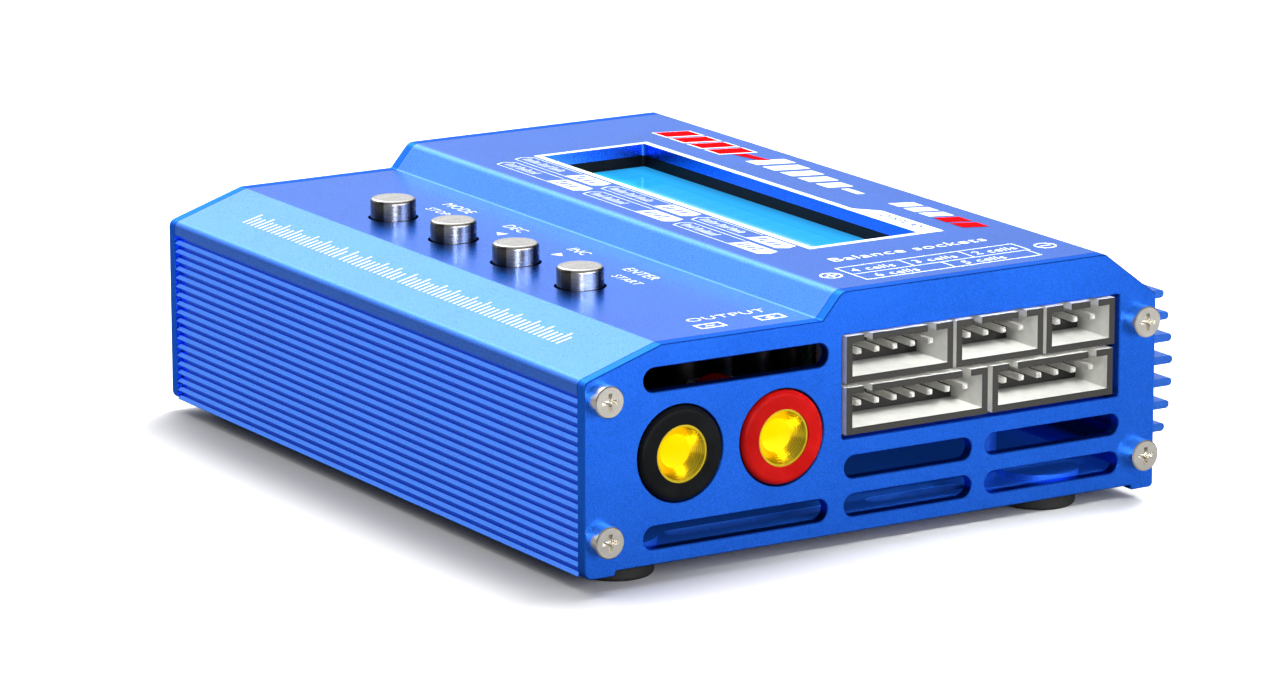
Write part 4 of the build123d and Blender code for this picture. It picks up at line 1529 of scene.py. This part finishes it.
@dataclass(frozen=True)
class Studio:
    """Camera, lights, floor and the white room round them.

    Each of the room's glows has an azimuth and an elevation in degrees, how narrow it is, and its
    power.
    """

    aim: Size = (-0.0040, -0.0006, 0.0130)
    distance: float = 0.7486
    azimuth: float = 58.43
    elevation: float = 13.48
    roll: float = -0.089
    lens: float = 169.44
    sensor: float = 36.0
    shade: float = 0.08
    glows: tuple[tuple[float, float, float, float], ...] = (
        (254.0, 50.0, 6.5, 2.8),
        (264.0, 36.0, 30.0, 2.0),
        (60.0, 35.0, 3.0, 0.22),
        (298.0, 24.0, 12.0, 0.7),
    )
    boxes: tuple[SoftBox, ...] = (
        SoftBox("key", 204.0, 64.0, 1.2, (0.7, 0.7), 26.0),
        SoftBox("sockets", 84.0, 40.0, 0.2, (0.05, 0.035), 0.010, 18.0, (0.051, 0.012, 0.020)),
        SoftBox("side", 103.0, 13.0, 0.32, (0.3, 0.14), 0.58, glossy=True),
        SoftBox("stripe", 66.0, 4.0, 0.5, (0.06, 0.14), 0.75, glossy=True, diffuse=False),
    )
    pale: tuple[Colour, Colour] = ((0.84, 0.84, 0.84), (0.86, 0.86, 0.86))
    bounce: Colour = (0.18, 0.18, 0.18)
    floor_reach: float = 3.0

    def direction(self, azimuth: float, elevation: float) -> Vector:
        """The unit vector towards a place at this azimuth and elevation in degrees."""
        a, e = math.radians(azimuth), math.radians(elevation)
        return Vector((math.sin(a) * math.cos(e), -math.cos(a) * math.cos(e), math.sin(e)))

    def camera(self) -> None:
        """Makes the scene's camera."""
        data = bpy.data.cameras.new("camera")
        data.lens = self.lens
        data.sensor_width = self.sensor
        data.clip_start = 0.01
        camera = bpy.data.objects.new("camera", data)
        back = self.direction(self.azimuth, self.elevation)
        turned = (-back).to_track_quat("-Z", "Y").to_matrix().to_4x4()
        rolled = turned @ Matrix.Rotation(math.radians(self.roll), 4, "Z")
        camera.matrix_world = Matrix.Translation(Vector(self.aim) + back * self.distance) @ rolled
        bpy.context.scene.collection.objects.link(camera)
        bpy.context.scene.camera = camera

    def light(self, box: SoftBox) -> None:
        """Makes a softbox.

        Args:
            box: What it is like and where it stands.
        """
        data = bpy.data.lights.new(box.name, "AREA")
        data.shape = "RECTANGLE"
        data.size, data.size_y = box.size
        data.energy = box.power
        data.spread = math.radians(box.spread)
        light = bpy.data.objects.new(box.name, data)
        back = self.direction(box.azimuth, box.elevation)
        light.rotation_mode = "QUATERNION"
        light.rotation_quaternion = (-back).to_track_quat("-Z", "Y")
        light.location = Vector(box.target or self.aim) + back * box.distance
        light.visible_camera = False
        light.visible_glossy = box.glossy
        light.visible_diffuse = box.diffuse
        bpy.context.scene.collection.objects.link(light)

    def room(self) -> None:
        """Lights the room: white to the camera, and a few soft glows for everything else."""
        world = bpy.data.worlds.new("room")
        world.use_nodes = True
        bpy.context.scene.world = world
        sheet = NodeSheet(world.node_tree)
        sheet.tree.nodes.clear()
        facing = sheet.node("ShaderNodeTexCoord", output="Generated")
        level: Value | float = 0.0
        for azimuth, elevation, narrow, power in self.glows:
            inputs = {0: facing, 1: self.direction(azimuth, elevation)}
            toward = sheet.node(VECTOR_MATH, {"operation": "DOT_PRODUCT"}, inputs, "Value")
            level = power * math.e ** ((toward - 1.0) * narrow) + level
        level = level + self.shade
        seen = sheet.node("ShaderNodeLightPath", output="Is Camera Ray")
        strength = seen + (1.0 - seen) * level
        glow = sheet.node("ShaderNodeBackground", None, {0: (1.0, 1.0, 1.0, 1.0), 1: strength})
        output = sheet.tree.nodes.new("ShaderNodeOutputWorld")
        sheet.feed(output.inputs[0], glow)

    def floor(self) -> None:
        """Makes the pale floor, which throws less light back than the camera sees."""
        sheet = FinishSheet("pale_floor")
        pale = sheet.mix(sheet.noise(0.3, 2.0), *self.pale)
        seen = sheet.node("ShaderNodeLightPath", output="Is Camera Ray")
        sheet.set(Base_Color=sheet.mix(seen, self.bounce, pale), Roughness=0.6)
        far = self.floor_reach
        square = ((-far, -far), (far, -far), (far, far), (-far, far))
        corners = [Vector((*corner, 0.0)) for corner in square]
        mesh_piece("floor", corners, [(0, 1, 2, 3)], sheet.material)

    def build(self) -> None:
        """Makes the whole studio."""
        bpy.context.scene.view_settings.view_transform = "Standard"
        self.camera()
        self.room()
        self.floor()
        for box in self.boxes:
            self.light(box)


def main() -> None:
    """Builds the charger's looks and the studio."""
    finishes = Finishes()
    Studio().build()
    for part in (
        CaseSkin(finishes),
        Keys(finishes),
        Outputs(finishes),
        Display(finishes),
        Electronics(finishes),
        DeckPrint(finishes, Datum.read()),
    ):
        part.build()
        log.info("%s done", type(part).__name__)


if __name__ == "__main__":
    main()
